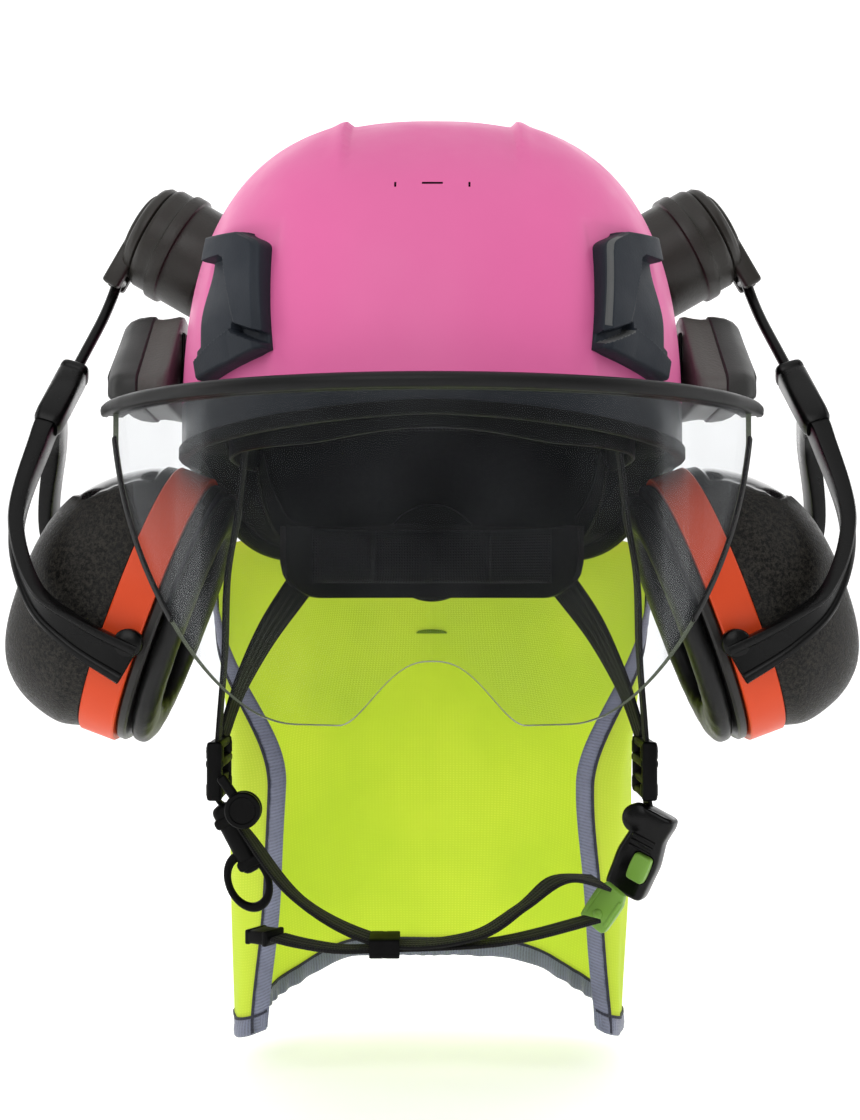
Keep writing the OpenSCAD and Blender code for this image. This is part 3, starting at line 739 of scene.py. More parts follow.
TO_BACK = np.array([[1, 0, 0], [0, 0, 1], [0, -1, 0]], float)  # turns +Z to +Y
housing = skin("dial_housing_cup", moved(lathe(
    [(4.1, 0), (22, 0), (24.4, 0.6), (25, 1.6), (25, 8.2), (24.4, 9), (23.2, 9), (22.6, 8.4), (22.5, 3.5),
     (4.1, 3.5)],
    96), TO_BACK, (0, DIAL_Y, DIAL_Z)), caps=False, loop=False)
placed(housing, strap_plastic, "helmet", "harness_plastic", "dial_housing")


def knurled_dial():
    profile = [(4, 0.5), (4, 4), (20.5, 4.0), (21.6, 5.0), (21.9, 8.0), (21.9, 13.0), (20.6, 14.4),
               (17.5, 15.0), (15.5, 13.4), (5, 12.8), (0.2, 12.6)]
    n = 180
    rings = lathe(profile, n)
    a = np.linspace(0, 2 * np.pi, n, endpoint=False)
    bite = 1 - 0.075 * smooth((np.cos(18 * a) - 0.35) / 0.5)
    for k in range(3, 8):
        rings[k, :, :2] *= bite[:, None]
    spokes = 1.1 * smooth((np.cos(6 * a) - 0.5) / 0.3)
    rings[8:10, :, 2] += spokes
    return skin("fit_dial_knob", moved(rings, TO_BACK, (0, DIAL_Y, DIAL_Z)))


placed(knurled_dial(), rubber_black, "dial", "harness_plastic", "size_dial")


def rack_strip(side):
    route = [[82.8, 44, -2], [81, 60, -18], [74, 76, -34], [60, 88, -46]]
    face = [[1, 0.2, 0], [1, 0.4, 0], [0.9, 0.6, 0], [0.7, 0.9, 0]]
    rings = swept(route, rounded(12, 2, 16, 0.35), face, 120)
    teeth = 0.25 * smooth(np.sin(np.arange(120) * 1.6) * 2)
    rings += (unit(rings - rings.mean(1, keepdims=True)) * teeth[:, None, None]) * 0.4
    return sided(rings, side)


for name, side in SIDES.items():
    placed(skin(f"rack_strip_{name}", rack_strip(side)), strap_plastic, "helmet", "harness_plastic",
           f"rack_{name}")
print("cradle, dial and strips made")

# %% [markdown]
# ## Lamp clips
# Four clips hold a head lamp's strap against the shell. Each front clip has a hook at the top, a channel for
# the strap, a raised rail towards the front and a wedge foot. All of it is one height over a patch of the
# shell, so the clip is a grid on the shell's surface that rises and falls.

# %% Lamp clips
def step_up(x, at, width):
    return smooth((x - at) / width + 0.5)


def ridge_at(u):
    """How high the wedge foot reaches: it rises to a peak past the middle and falls to the front corner."""
    return np.where(u < 0.58, 0.13 + 0.19 * u, 0.24 - 0.476 * (u - 0.58))


def front_height(u, v):
    """Height of a front clip over the shell; u runs towards the front, v upwards."""
    raised = np.maximum(step_up(u, 0.39 + 0.46 * (0.81 - v), 0.035), step_up(v, 0.81, 0.03))
    floor = 3.7 * smooth((0.76 - v) / 0.42)
    body = floor + (4.4 - floor) * raised
    ridge = ridge_at(u)
    gap_top = 0.285 - 0.37 * (u - 0.58)
    body = body - 4.0 * step_up(u, 0.60, 0.03) * step_up(gap_top, v, 0.02)
    foot = 5.6 - 9.0 * np.clip(ridge - v, 0, 0.2)
    body = body + (foot - body) * step_up(ridge, v, 0.014)
    return 2.6 + body - 1.5 * smooth((u - 0.90) / 0.07)


def rear_height(u, v):
    hook = step_up(v, 0.66, 0.05) * 4.6
    foot = step_up(0.30, v, 0.05) * (2.0 + 3.0 * v / 0.3)
    rails = 1.4 * np.maximum(step_up(0.14, u, 0.06), step_up(u, 0.86, 0.06))
    return 3.0 + np.maximum(np.maximum(hook, foot), rails)


def clip_rings(bounds, height, slant, n=80, m=120):
    """Rings of a clip, foot to hook; a slanted clip leans with the brow and has a round front corner."""
    a0, a1, z0, z1 = bounds
    rows = []
    for v in np.linspace(0, 1, m):
        u = np.linspace(0, 1, n)
        front = a0 - slant * 4.2 * (1 - v) + slant * 6.5 * smooth((v - 0.80) / 0.20) ** 2
        rear = a1 - slant * (3.6 * (1 - v) + 1.6 * smooth((v - 0.19) / 0.03)
                             - 2.0 * smooth((v - 0.79) / 0.03))
        a = rad(rear + (front - rear) * u)
        low = z0 + slant * 9.0 * u
        high = z1 + slant * 2.5 * (1 - u)
        z = low + (high - low) * v
        edge = np.minimum(np.minimum(u, 1 - u) * 34, min(v, 1 - v) * 44)
        round_off = np.sqrt(np.clip(1 - (1 - np.clip(edge, 0, 1)) ** 2, 0, 1))
        h = height(u, v) * (0.35 + 0.65 * round_off)
        rows.append(np.concatenate([wall(a, z, -h), wall(a, z, 1.25)[::-1]]))
    return np.array(rows)


def paint_edge_highlights(clip, n=80, m=120):
    """The paler edges of a front clip, a painted highlight: the chamfer beside the rail and the bevel on the
    wedge get a paler grey where they catch the light.
    """
    clip.data.materials.append(clip_edge_highlight)
    for face in clip.data.polygons:
        ring, spot = divmod(min(face.vertices), 2 * n)
        u, v = spot / (n - 1), ring / (m - 1)
        bevel = 0.60 < u < 0.97 and abs(v - float(ridge_at(u)) + 0.008) < 0.014
        face.material_index = int((0.905 < u < 0.965 and 0.19 < v < 0.93) or bevel)


for name, side in SIDES.items():
    for place, height, slant in (("front", front_height, 1), ("rear", rear_height, 0)):
        rings = sided(clip_rings(CLIPS[place], height, slant), side)
        clip = skin(f"lamp_clip_{place}_{name}", rings)
        placed(clip, clip_black, "helmet", "clip_plastic", f"{place}_clip_{name}", angle=50)
        if place == "front":
            paint_edge_highlights(clip)
print("lamp clips made")

# %% [markdown]
# ## The visor
# The lens hangs from a curved bar over the brow, and two side arms carry the bar back to the pivots. The
# lower edge of the lens dips over the cheeks, rises at the nose and sweeps up at the sides.

# %% Brow bar and lens
LENS_R, LENS_Y, LENS_WALL = 139, -26, 2.2
BAR_Z = 9.7
PIVOT_Z = 35


def lens_point(a, z, d=0.0):
    """A point of the lens cylinder at angle a (degrees from the front), height z, proud by d."""
    a, z, d = np.broadcast_arrays(np.asarray(a, float), z, d)
    return np.stack([(LENS_R + d) * np.sin(rad(a)), LENS_Y - (LENS_R + d) * np.cos(rad(a)), z], -1)


CHEEK_ANGLES = (20, 28, 35, 40, 46, 50, 60, 65, 70)
CHEEK_HEIGHTS = (-113, -108.5, -100.4, -89.6, -76, -66, -38.5, -22.8, -5)
CHEEK_CURVE = np.polyfit(CHEEK_ANGLES, CHEEK_HEIGHTS, 4)


def lens_low(a):
    """Height of the lens's lower edge: a notch for the nose, level cheeks, sides that sweep up to the bar."""
    b = np.abs(a)
    cheek = np.where(b < 21, -113.0, np.polyval(CHEEK_CURVE, np.maximum(b, 21)))
    return cheek + 23 * (1 - smooth((b / 14) ** 1.3))


def brow_bar():
    """The bar's section: a soft front roll over a lip, with a seal strip towards the shell."""
    section = [(-5.2, 6.7), (-5.4, 7.2), (-5.4, 12.0), (-4.9, 12.7), (-2.4, 12.8), (-2.0, 12.2), (0.4, 12.2),
               (1.2, 12.5), (2.8, 11.9), (3.8, 10.8), (4.0, 9.4), (3.8, 7.6), (3.0, 6.8), (1.2, 6.6),
               (0.8, 7.2), (-2.4, 7.2), (-3.0, 6.7)]
    rings = []
    for a in np.linspace(-76, 76, 180):
        shrink = 1 - 0.35 * smooth((abs(a) - 74.2) / 1.8)
        rings.append([lens_point(a, BAR_Z + (z - BAR_Z) * shrink, -0.7 + (d + 0.7) * shrink)
                      for d, z in section])
    return skin("brow_bar_moulding", rings)


bar = joined("brow_bar_moulding", [brow_bar()])
placed(bar, bar_black, "visor", "visor_plastic", "visor_frame", angle=50)


def lens_sheet():
    rings = []
    for a in np.linspace(-70, 70, 200):
        low = np.minimum(-1, lens_low(a))
        t = np.linspace(0, 1, 34)
        z = 9.0 + (low - 9.0) * t
        outer_face = lens_point(a, z, 0.0)
        inner_face = lens_point(a, z, -LENS_WALL)
        edge_mid = lens_point(a, low - 0.5, -LENS_WALL / 2)[None]
        rings.append(np.concatenate([outer_face, edge_mid, inner_face[::-1]]))
    return skin("visor_lens_sheet", rings)


lens = placed(lens_sheet(), lens_clear, "visor", "lens", "visor_lens", angle=50)
lens.data.materials.append(lens_edge)
for face in lens.data.polygons:
    x, y, z = face.center / MM
    out = Vector((x, y - LENS_Y, 0)).normalized()
    face.material_index = int(abs(face.normal.dot(out)) < 0.7)
lens_lip = joined("lens_side_lips", [
    skin("lip", swept([lens_point(side * a, float(lens_low(a)) + 1.0, -0.6)
                       for a in np.linspace(70.4, 45.5, 16)],
                      rounded(2.6, 1.6, 12), unit(lens_point(side * 60, 0, 0) - [0, LENS_Y, 0]), 50))
    for side in (LEFT, RIGHT)])
placed(lens_lip, bar_black, "visor", "visor_plastic")
print("visor bar and lens made, lens depth", round(113 + 9.0), "mm")

# %% [markdown]
# A visor arm is a cheek of plastic: a round boss at the pivot that narrows towards the bar. The outer cover
# is smooth, and a curved seam divides it from the inner half that sits close to the shell. That half is
# painted paler, a painted highlight where it faces the light from above and in front.

# %% Visor arms
def hull_outline(points, n=120):
    """The convex outline of some points, resampled evenly and eased."""
    pts = sorted(set(map(tuple, np.round(points, 3))))
    def half(seq):
        out = []
        for p in seq:
            while len(out) > 1 and ((out[-1][0] - out[-2][0]) * (p[1] - out[-2][1])
                                    - (out[-1][1] - out[-2][1]) * (p[0] - out[-2][0])) <= 0:
                out.pop()
            out.append(p)
        return out
    ring = np.array(half(pts)[:-1] + half(pts[::-1])[:-1])
    ring = np.concatenate([ring, ring[:1]])
    length = np.concatenate([[0], np.cumsum(np.linalg.norm(np.diff(ring, axis=0), axis=1))])
    s = np.linspace(0, length[-1], n, endpoint=False)
    out = np.stack([np.interp(s, length, ring[:, k]) for k in (0, 1)], -1)
    for _ in range(3):
        out = 0.5 * out + 0.25 * (np.roll(out, 1, 0) + np.roll(out, -1, 0))
    return out


def cheek(x_list, side, name):
    """Side plate of the visor through (x, radius of the boss, shrink, waist) sections."""
    t = np.linspace(0, 2 * np.pi, 60)
    rings = []
    for x, r, inset, nose in x_list:
        boss = np.stack([r * np.cos(t), PIVOT_Z + r * np.sin(t)], -1)
        front = [(-55.5 + inset + nose, 14.2 + inset), (-55.5 + inset + nose, 25.2 - inset),
                 (-38, 14.2 + inset), (-44, 31 - inset)]
        outline = hull_outline(np.concatenate([boss, front]))
        rings.append(np.concatenate([np.full((len(outline), 1), float(x)), outline], 1))
    return skin(name, sided(rings, side))


CORE = [(112.0, 23.0, 1.0, 6), (112.4, 23.6, 0.4, 5), (114, 23.9, 0, 4), (117.5, 23.2, 0.6, 3.0),
        (121.5, 22.7, 1.0, 1.5), (124.2, 22.9, 0.9, 1.0)]
COVER = [(124.4, 23.2, 0.6, 0.5), (124.9, 23.9, 0.1, 0), (127, 24, 0, 0), (132, 23.3, 0.3, 0),
         (135.5, 21.8, 1.2, 1.2), (137.6, 19.6, 2.6, 3.5), (138.6, 17.0, 4.2, 7.5), (138.9, 13.5, 5.0, 15.0)]
# Painted highlight: the inner half is a lighter grey than the cover because it faces the light; its grain is
# real.
visor_inner_highlight = moulded("visor_arm_inner_grain_painted_highlight", (0.075, 0.073, 0.066), 0.38, mirror=0.35, grain=0.16,
                      grain_scale=800)
for name, side in SIDES.items():
    core = cheek(CORE, side, f"visor_cheek_inner_{name}")
    placed(core, visor_inner_highlight, "visor", "visor_plastic", f"visor_arm_{name}", angle=50)
    cover = cheek(COVER, side, f"visor_cheek_cover_{name}")
    placed(cover, visor_grey, "visor", "visor_plastic", f"visor_arm_{name}", angle=50)


def visor_post(side):
    """The pivot pin with its plate in the shell's slot."""
    pin = skin("pin", moved(lathe([(3.4, 0), (3.95, 0.6), (3.95, 23.4), (3.4, 24)], 40), about_y(90),
                            (111, 0, PIVOT_Z)))
    plate = block((1.4, 26, 30), (111, 0, 35), bevel=0.5)
    plug = block((3.6, 19.4, 15.4), (109.2, 0, 34), bevel=0.5)
    post = joined("post", [pin, plate, plug])
    return onto(side, post)


for name, side in SIDES.items():
    post = visor_post(side)
    post.name = f"visor_post_{name}"
    placed(post, strap_plastic, "helmet", "arm_plastic", f"visor_mount_{name}")
print("visor arms made")

# %% [markdown]
# ## Ear defenders
# Each defender hangs from a drum on the shell. The drum turns, a sprung rod folds out of it, a fork slides
# on the rod and the cup tilts between the fork's tips. Turned parts come from one profile each, spun round
# the drum's axis.

# %% Drum and cap
DRUM_AT, DRUM_TURN = (115, 30, 93), about_y(60)


def beside_shell(rings, gap=0.8):
    """Keeps the drum's inner end clear of the shell: points inside it move out along the drum's axis."""
    axis = DRUM_TURN @ np.array([0, 0, 1.0])
    for _ in range(40):
        x, y, z = rings[..., 0], rings[..., 1], rings[..., 2]
        plan = (np.abs(x) / (HALF_W + gap)) ** PLAN_POWER + (np.abs(y) / (BACK + gap)) ** PLAN_POWER
        up = np.clip((z - BASE) / (CROWN - BASE + gap), 0, 2) ** DOME_POWER
        inside = plan ** (DOME_POWER / PLAN_POWER) + up < 1
        rings = rings + axis * (1.0 * inside)[..., None]
    return rings


DRUM = [(0.5, -16), (24.0, -16), (25, -14.5), (25, 2.0), (25.2, 2.6), (26.4, 3.2), (26.6, 4.0), (26.6, 8.0),
        (26.4, 8.8), (25.2, 9.4), (25, 10), (25, 16.2), (24.2, 17.6), (22.5, 18.0), (6.2, 18.0), (6.1, 8.0),
        (0.5, 8.0)]
CAP = [(6, 8.4), (6, 18.4), (22.9, 18.4), (23.5, 19.0), (23.5, 21.0), (22.0, 23.2), (19.6, 24.2),
       (17.9, 24.4), (17.6, 24.9), (17.4, 25.9), (16.6, 26.4), (14.2, 26.4), (13.8, 26.0), (5, 25.9),
       (0.5, 25.9)]
HINGE_X, HINGE_Z = 27, 22


def dense(profile, step=1.2):
    """Adds points along the long straights of a profile, so that a turned piece can bend to its neighbour."""
    p = np.array(profile, float)
    out = [p[0]]
    for a, b in zip(p[:-1], p[1:]):
        n = max(1, int(np.linalg.norm(b - a) / step)) if abs(a[0] - b[0]) < 0.1 else 1
        out += [a + (b - a) * (k + 1) / n for k in range(n)]
    return out


def drum(side):
    rings = beside_shell(moved(lathe(dense(DRUM), 110), DRUM_TURN, DRUM_AT))
    return skin("ear_drum", sided(rings, side))


def drum_cap(side):
    """Cap over the drum, with the hinge block of the rod and its cross pin."""
    parts = [skin("cap", moved(lathe([(0.5, 8.4)] + CAP, 110), DRUM_TURN, DRUM_AT))]
    gap_tool = block((14, 8.6, 30), DRUM_TURN @ np.array([HINGE_X + 3.2, -4, 25]) + DRUM_AT, DRUM_TURN, 0.1)
    knuckle = block((23, 18, 8.6), DRUM_TURN @ np.array([19.5, -4, 22.7]) + DRUM_AT, DRUM_TURN, 1.6)
    cap = cut(joined("cap", parts), gap_tool)
    gap_tool = block((14, 8.6, 30), DRUM_TURN @ np.array([HINGE_X + 3.2, -4, 25]) + DRUM_AT, DRUM_TURN, 0.1)
    knuckle = cut(knuckle, gap_tool)
    pin = skin("pin", moved(lathe([(1.2, -8), (1.6, -7.6), (1.6, 7.6), (1.2, 8)], 24) @ TO_BACK.T,
                            DRUM_TURN, DRUM_TURN @ np.array([HINGE_X, -4, HINGE_Z]) + DRUM_AT))
    ribs = [block((1.0, 9, 0.8), DRUM_TURN @ np.array([x, 0, 26.0]) + DRUM_AT, DRUM_TURN, 0.3)
            for x in (-9, -5.5)]
    return onto(side, joined("ear_cap", [cap, knuckle, pin] + ribs))


for name, side in SIDES.items():
    piece = drum(side)
    piece.name = f"ear_drum_{name}"
    placed(piece, drum_black, "helmet", "arm_plastic", f"ear_mount_{name}")
    piece = drum_cap(side)
    piece.name = f"ear_cap_{name}_moulding"
    placed(piece, drum_black, f"ear_arm_{name}", "arm_plastic", f"ear_cap_{name}")
print("drums made")

# %% [markdown]
# The rod is drawn spring steel, bent near its hinge. The fork is a moulded sleeve that splits into two flat
# branches; their broad faces turn as they reach round the cup, and a groove along each saves weight.

# %% Rod and fork
ROD = np.array([[147.55, 26, 80.62], [150, 24, 72], [153, 16, 60], [158, 4, 44]])
ROD_DIR = unit(ROD[3] - ROD[2])


def frame_of(direction):
    """A turn that takes +Z to a direction."""
    z = unit(direction)
    x = unit(np.cross([0, 1, 0], z))
    return np.stack([x, np.cross(z, x), z], -1)


def rod(side):
    route = curve(ROD, 40)
    route = np.concatenate([route, route[-1] + ROD_DIR * np.linspace(1, 36, 16)[:, None]])
    circle = rounded(5, 5, 20, 1.0)
    wire = skin("wire", swept(route, circle, [1, 0, 0.5], 90))
    eye = skin("eye", moved(lathe([(1.7, -3.8), (3.0, -4), (3.4, -3.6), (3.4, 3.6), (3.0, 4), (1.7, 3.8)],
                                  36),
                            TO_BACK, ROD[0]), caps=False, loop=True)
    return onto(side, joined("rod", [wire, eye]))


STEM_TOP = ROD[3] + ROD_DIR * 12
BRANCHES = {
    "front": [STEM_TOP + ROD_DIR * 28, [172, -24, 0], [178, -42, -36], [167, -58, -66], [148, -64, -83],
              [126, -64.5, -96]],
    "rear": [STEM_TOP + ROD_DIR * 28, [172, 4, 0], [178, 22, -36], [167, 38, -66], [148, 44, -83],
             [126, 44.5, -96]]}
I_SECTION = [(7.0, 1.6), (6.6, 2.9), (5.2, 3.4), (3.9, 3.0), (3.3, 1.7), (-3.3, 1.7), (-3.9, 3.0),
             (-5.2, 3.4), (-6.6, 2.9), (-7.0, 1.6), (-7.0, -1.6), (-6.6, -2.9), (-5.2, -3.4), (5.2, -3.4),
             (6.6, -2.9), (7.0, -1.6)]
TIP_Y = {"front": (-66.5, -60), "rear": (40, 46.5)}


def fork(side):
    sleeve_turn = frame_of(ROD_DIR)
    square = rounded(13, 13, 40, 0.5)
    sizes = [(0, 0.86), (0.8, 0.97), (2, 1.0), (3.2, 1.0), (3.8, 0.93), (4.8, 0.93), (5.4, 1.0), (30, 1.0),
             (34, 0.95), (36, 0.8)]
    sleeve = skin("sleeve", moved([[(x * f, y * f, z) for x, y in square] for z, f in sizes], sleeve_turn,
                                  STEM_TOP))
    parts = [sleeve]
    for name, route in BRANCHES.items():
        grow = [[0.85, 1.5], [1.0, 1.25], [0.95, 1.0], [0.80, 1.0], [1.05, 0.95], [1.28, 0.85]]
        out = -1 if name == "front" else 1
        face = [[1, 0, 0.2], [1, 0, 0.2], [1, 0.1 * out, 0.2], [0.9, 0.5 * out, 0], [0.4, out, 0],
                [0.0, out, 0]]
        parts.append(skin("branch", swept(route, I_SECTION, face, 90, scale=grow)))
        y0, y1 = TIP_Y[name]
        out = [(1, y0), (5.2, y0), (6, y0 + 0.9), (6, y1 - 0.9), (5.2, y1), (1, y1)]
        parts.append(skin("boss", moved(lathe([(r, z) for r, z in out], 48), TO_BACK, (126, 0, -87))))
    for y0, y1 in ((-61, -53), (33, 41)):
        parts.append(skin("tip", moved(lathe([(0.5, y0), (2.4, y0), (2.4, y1), (0.5, y1)], 24), TO_BACK,
                                       (126, 0, -87))))
    clip = block((5, 9, 16), STEM_TOP + ROD_DIR * 9 + sleeve_turn @ np.array([0, 7.6, 0]), sleeve_turn, 1.6)
    return onto(side, joined("fork", parts + [clip]))


for name, side in SIDES.items():
    piece = rod(side)
    piece.name = f"arm_rod_{name}_wire"
    placed(piece, rod_steel, f"ear_rod_{name}", "steel_rod", f"arm_rod_{name}")
    piece = fork(side)
    piece.name = f"yoke_{name}_fork"
    placed(piece, arm_black, f"ear_yoke_{name}", "arm_plastic", f"yoke_{name}", angle=50)
print("rods and forks made")

# %% [markdown]
# A cup is an egg seen from the side and a dome seen from the front. From the outside in it has the grained
# dome with a smooth saddle where the fork folds over it, the bright band, a base, and a cushion that seals
# on the head.

# %% Cups
CUP_AT, CUP_TURN = (126, -10, -71), about_y(90 - 20.6)
CUP_H, CUP_W = 61, 46


def egg(h, w, z, shift=0.0, n=120):
    a = np.linspace(0, 2 * np.pi, n, endpoint=False)
    return np.stack([shift - h * power(np.cos(a), 0.9), w * power(np.sin(a), 0.9), np.full(n, float(z))], -1)


DOME_STACK = [(61, 46, 8.4, 0), (61.3, 46.3, 16, 1.6), (60.0, 44.8, 22, 2.6), (57, 42, 29, 3.8),
              (53, 38.6, 36, 5.0), (47.5, 34.0, 42.6, 6.2), (40, 27.5, 48.6, 7.4), (30, 20, 53, 8.2),
              (17, 11, 55.6, 8.8), (4, 3, 56.3, 9)]


def saddle(p):
    """1 on the smooth patch near the cup's upper end, where the fork parks, 0 elsewhere."""
    u = -p[..., 0]
    v = p[..., 1]
    return smooth((u - 33) / 1.6) * smooth((26.5 - np.abs(v)) / 1.6) * smooth((p[..., 2] - 13) / 1.6)


def cup_dome(side):
    stack = curve(DOME_STACK, 60)
    rings = np.array([egg(*row) for row in stack])
    lift = saddle(rings)
    rings[..., 2] -= 0.9 * lift
    rings[..., 0] += 0.9 * lift
    inner = np.array([egg(h - 3, w - 3, z - 1, shift) for h, w, z, shift in stack[::3]])[:-1]
    shell_ = np.concatenate([inner[::-1], rings])
    obj = skin("cup_dome", sided(moved(shell_, CUP_TURN, CUP_AT), side))
    return obj


def two_finishes(obj, patch, side):
    """Gives the saddle's faces the gloss material."""
    obj.data.materials.append(patch)
    turn = np.array(CUP_TURN)
    for face in obj.data.polygons:
        c = np.array(face.center) / MM * [side, 1, 1]
        local = turn.T @ (c - CUP_AT)
        if saddle(local) > 0.5:
            face.material_index = 1


def ring_piece(h, w, z0, z1, thick, bevel=0.6):
    """A band round the cup with eased edges."""
    b = bevel
    rows = [(-thick, z0 + b), (-thick + b, z0), (-b, z0), (0, z0 + b),
            (0, z1 - b), (-b, z1), (-thick + b, z1), (-thick, z1 - b)]
    return moved(np.array([egg(h + d, w + d, z) for d, z in rows]), CUP_TURN, CUP_AT)


def cushion_rings():
    """A soft doughnut of foil over foam: full at its face, tucked in at the base, lightly puckered."""
    rings = []
    for t in np.linspace(0, 2 * np.pi, 36, endpoint=False):
        swell = 9.5 * power(np.cos(t), 0.8)
        ring = egg(CUP_H - 12 + swell, CUP_W - 12 + swell, -18.2 + 4.9 * power(np.sin(t), 0.8), 0, 180)
        a = np.linspace(0, 2 * np.pi, 180, endpoint=False)
        pucker = 0.16 * np.sin(23 * a + 1.3 * np.sin(5 * a)) * max(0.0, -math.sin(t) * 0 + abs(math.cos(t)))
        ring[:, 2] += pucker
        rings.append(ring)
    return moved(np.array(rings), CUP_TURN, CUP_AT)


def foam_rings():
    rows = [(0.2, 2), (0.9, 2), (1.0, 3), (1.0, 11.5), (0.97, 13.3), (0.88, 14.2), (0.5, 13.4), (0.05, 13.2)]
    return moved(np.array([egg((CUP_H - 8) * f, (CUP_W - 8) * f, z) for f, z in rows]), CUP_TURN, CUP_AT)


cushion_foil = moulded("cushion_foil", (0.008, 0.008, 0.008), 0.42, mirror=0.25, grain=0.12, grain_scale=500)
base_black = moulded("cup_base_grain", (0.012, 0.011, 0.010), 0.36, mirror=0.35, grain=0.08, grain_scale=900)
for name, side in SIDES.items():
    body = f"ear_cup_{name}"
    piece = cup_dome(side)
    piece.name = f"cup_dome_{name}_grained"
    placed(piece, cup_speckle, body, "cup_plastic", f"cup_dome_{name}", angle=60)
    two_finishes(piece, cup_gloss, side)
    piece = skin(f"cup_band_{name}_bright", sided(ring_piece(CUP_H + 1, CUP_W + 1, -8, 8, 6), side),
                 caps=False, loop=True)
    for y in (-57, 37):
        hole = skin("hole", moved(lathe([(2.6, -5), (2.6, 5)], 24), TO_BACK, (126 * side, y, -87)))
        cut(piece, hole)
    placed(piece, band_orange, body, "band_orange", f"cup_band_{name}")
    piece = skin(f"cup_base_{name}_plate", sided(ring_piece(CUP_H - 1, CUP_W - 1, -13, -8.4, 18, 1.0), side),
                 caps=False, loop=True)
    placed(piece, base_black, body, "cup_plastic", f"cup_base_{name}")
    cushion = skin(f"cup_cushion_{name}_seal", sided(cushion_rings(), side), caps=False, loop=True)
    placed(cushion, cushion_foil, body, "ear_cushion", f"cup_cushion_{name}", angle=70)
    foam = skin(f"cup_foam_{name}_sheet", sided(foam_rings(), side))
    placed(foam, ear_foam, body, "ear_foam", f"cup_foam_{name}")
print("cups made:", CUP_H * 2, "by", CUP_W * 2, "mm")

# %% [markdown]
# ## Chin harness
# Webbing comes down from the shell at four places and meets at a slotted adjuster on each side. From there
# one strap goes under the chin to the buckle, its spare end comes back through a keeper, and a roller and
# ring trim the side.

# %% Straps
FACE_OUT = [[1, 0, 0]] * 6


def strap(name, route, face, width=15.0, thick=1.9, count=140, side=RIGHT, twist=0.5, seed=0.0):
    """Webbing along a route, with the slight waver that a hanging strap has."""
    rings = swept(route, rounded(width, thick, 20, 0.28), face, count)
    t = np.linspace(0, 1, count)
    waver = np.sin(np.pi * t) * twist * np.sin(7 * t + seed)
    rings = rings + (unit(rings[:, 10] - rings[:, 0])[:, None] * waver[:, None, None] * 0.6)
    return skin(name, sided(rings, side))


FRONT_ROUTE = [[79.6, -42, 0], [84, -36, -33], [89, -30, -60], [91, -22, -92], [94, -13, -118],
               [95.5, -8.5, -132]]
REAR_ROUTE = [[58, 81, -52], [68, 72, -66], [80, 50, -86], [90, 28, -110], [95.5, 8.5, -132]]
REAR_FACE = [[0.6, 0.8, 0], [0.7, 0.7, 0], [0.9, 0.4, 0], [1, 0.1, 0], [1, 0, 0]]
for name, side in SIDES.items():
    piece = strap(f"front_strap_{name}_web", FRONT_ROUTE, FACE_OUT, side=side, seed=side)
    placed(piece, webbing, "helmet", "webbing", f"front_strap_{name}", angle=60)
    piece = strap(f"rear_strap_{name}_web", REAR_ROUTE, REAR_FACE, width=16, side=side, seed=2 * side)
    placed(piece, webbing, "helmet", "webbing", f"rear_strap_{name}", angle=60)

CHIN_ROUTE = [[-96, -5, -159], [-84, -12, -171], [-57, -40, -197], [-20, -62, -210.6], [16, -62, -208.5],
              [37, -55, -198], [54, -45, -188], [73, -30, -192]]
CHIN_FACE = [[1, 0, 0.35], [0.75, -0.05, 0.65], [0.6, -0.05, 0.8], [0, 0, 1], [-0.1, 0, 1], [-0.45, 0, 0.9],
             [-0.1, 0, 1], [0.3, -0.15, 0.95]]
TAIL_ROUTE = [[69, -33, -207], [28, -57, -211.5], [-19, -62, -213], [-38, -60, -214], [-54, -54, -213],
              [-65, -49, -211.5]]
TAIL_FACE = [[-0.2, -0.1, 0.97], [-0.05, 0, 1], [0, 0, 1], [0, 0, 1], [0, 0, 1], [0, 0, 1]]
placed(strap("chin_strap_web", CHIN_ROUTE, CHIN_FACE, count=200), webbing, "helmet", "webbing", "chin_strap",
       angle=60)
placed(strap("chin_tail_web", TAIL_ROUTE, TAIL_FACE, width=13, count=160), webbing, "helmet", "webbing",
       "chin_tail", angle=60)
print("straps made")

# %% [markdown]
# The fittings on the webbing are small mouldings. An adjuster is a frame with cross bars that the webbing
# threads through; the keeper is a sleeve; the buckle is a rounded shell with a tongue and a sprung button.

# %% Harness fittings
def turned(degrees_x=0.0, degrees_y=0.0, degrees_z=0.0):
    cx, sx = math.cos(rad(degrees_x)), math.sin(rad(degrees_x))
    cz, sz = math.cos(rad(degrees_z)), math.sin(rad(degrees_z))
    about_x = np.array([[1, 0, 0], [0, cx, -sx], [0, sx, cx]])
    about_z = np.array([[cz, -sz, 0], [sz, cz, 0], [0, 0, 1]])
    return about_z @ about_y(degrees_y) @ about_x


def bar_ring(name, width, height, thick, deep, centre, turn=np.eye(3), bars=()):
    """A flat rectangular loop with rounded bars, and cross bars at the given heights."""
    side_bars = [block((deep, thick, height), moved([[0, s * (width - thick) / 2, 0]], turn, centre)[0],
                       turn, thick * 0.35) for s in (-1, 1)]
    cross = [block((deep * k, width - thick * 0.4, thick * 0.95), moved([[0, 0, z]], turn, centre)[0], turn,
                   thick * 0.35) for z, k in [((height - thick) / 2, 0.9), (-(height - thick) / 2, 0.9)]
                   + list(bars)]
    return joined(name, side_bars + cross)


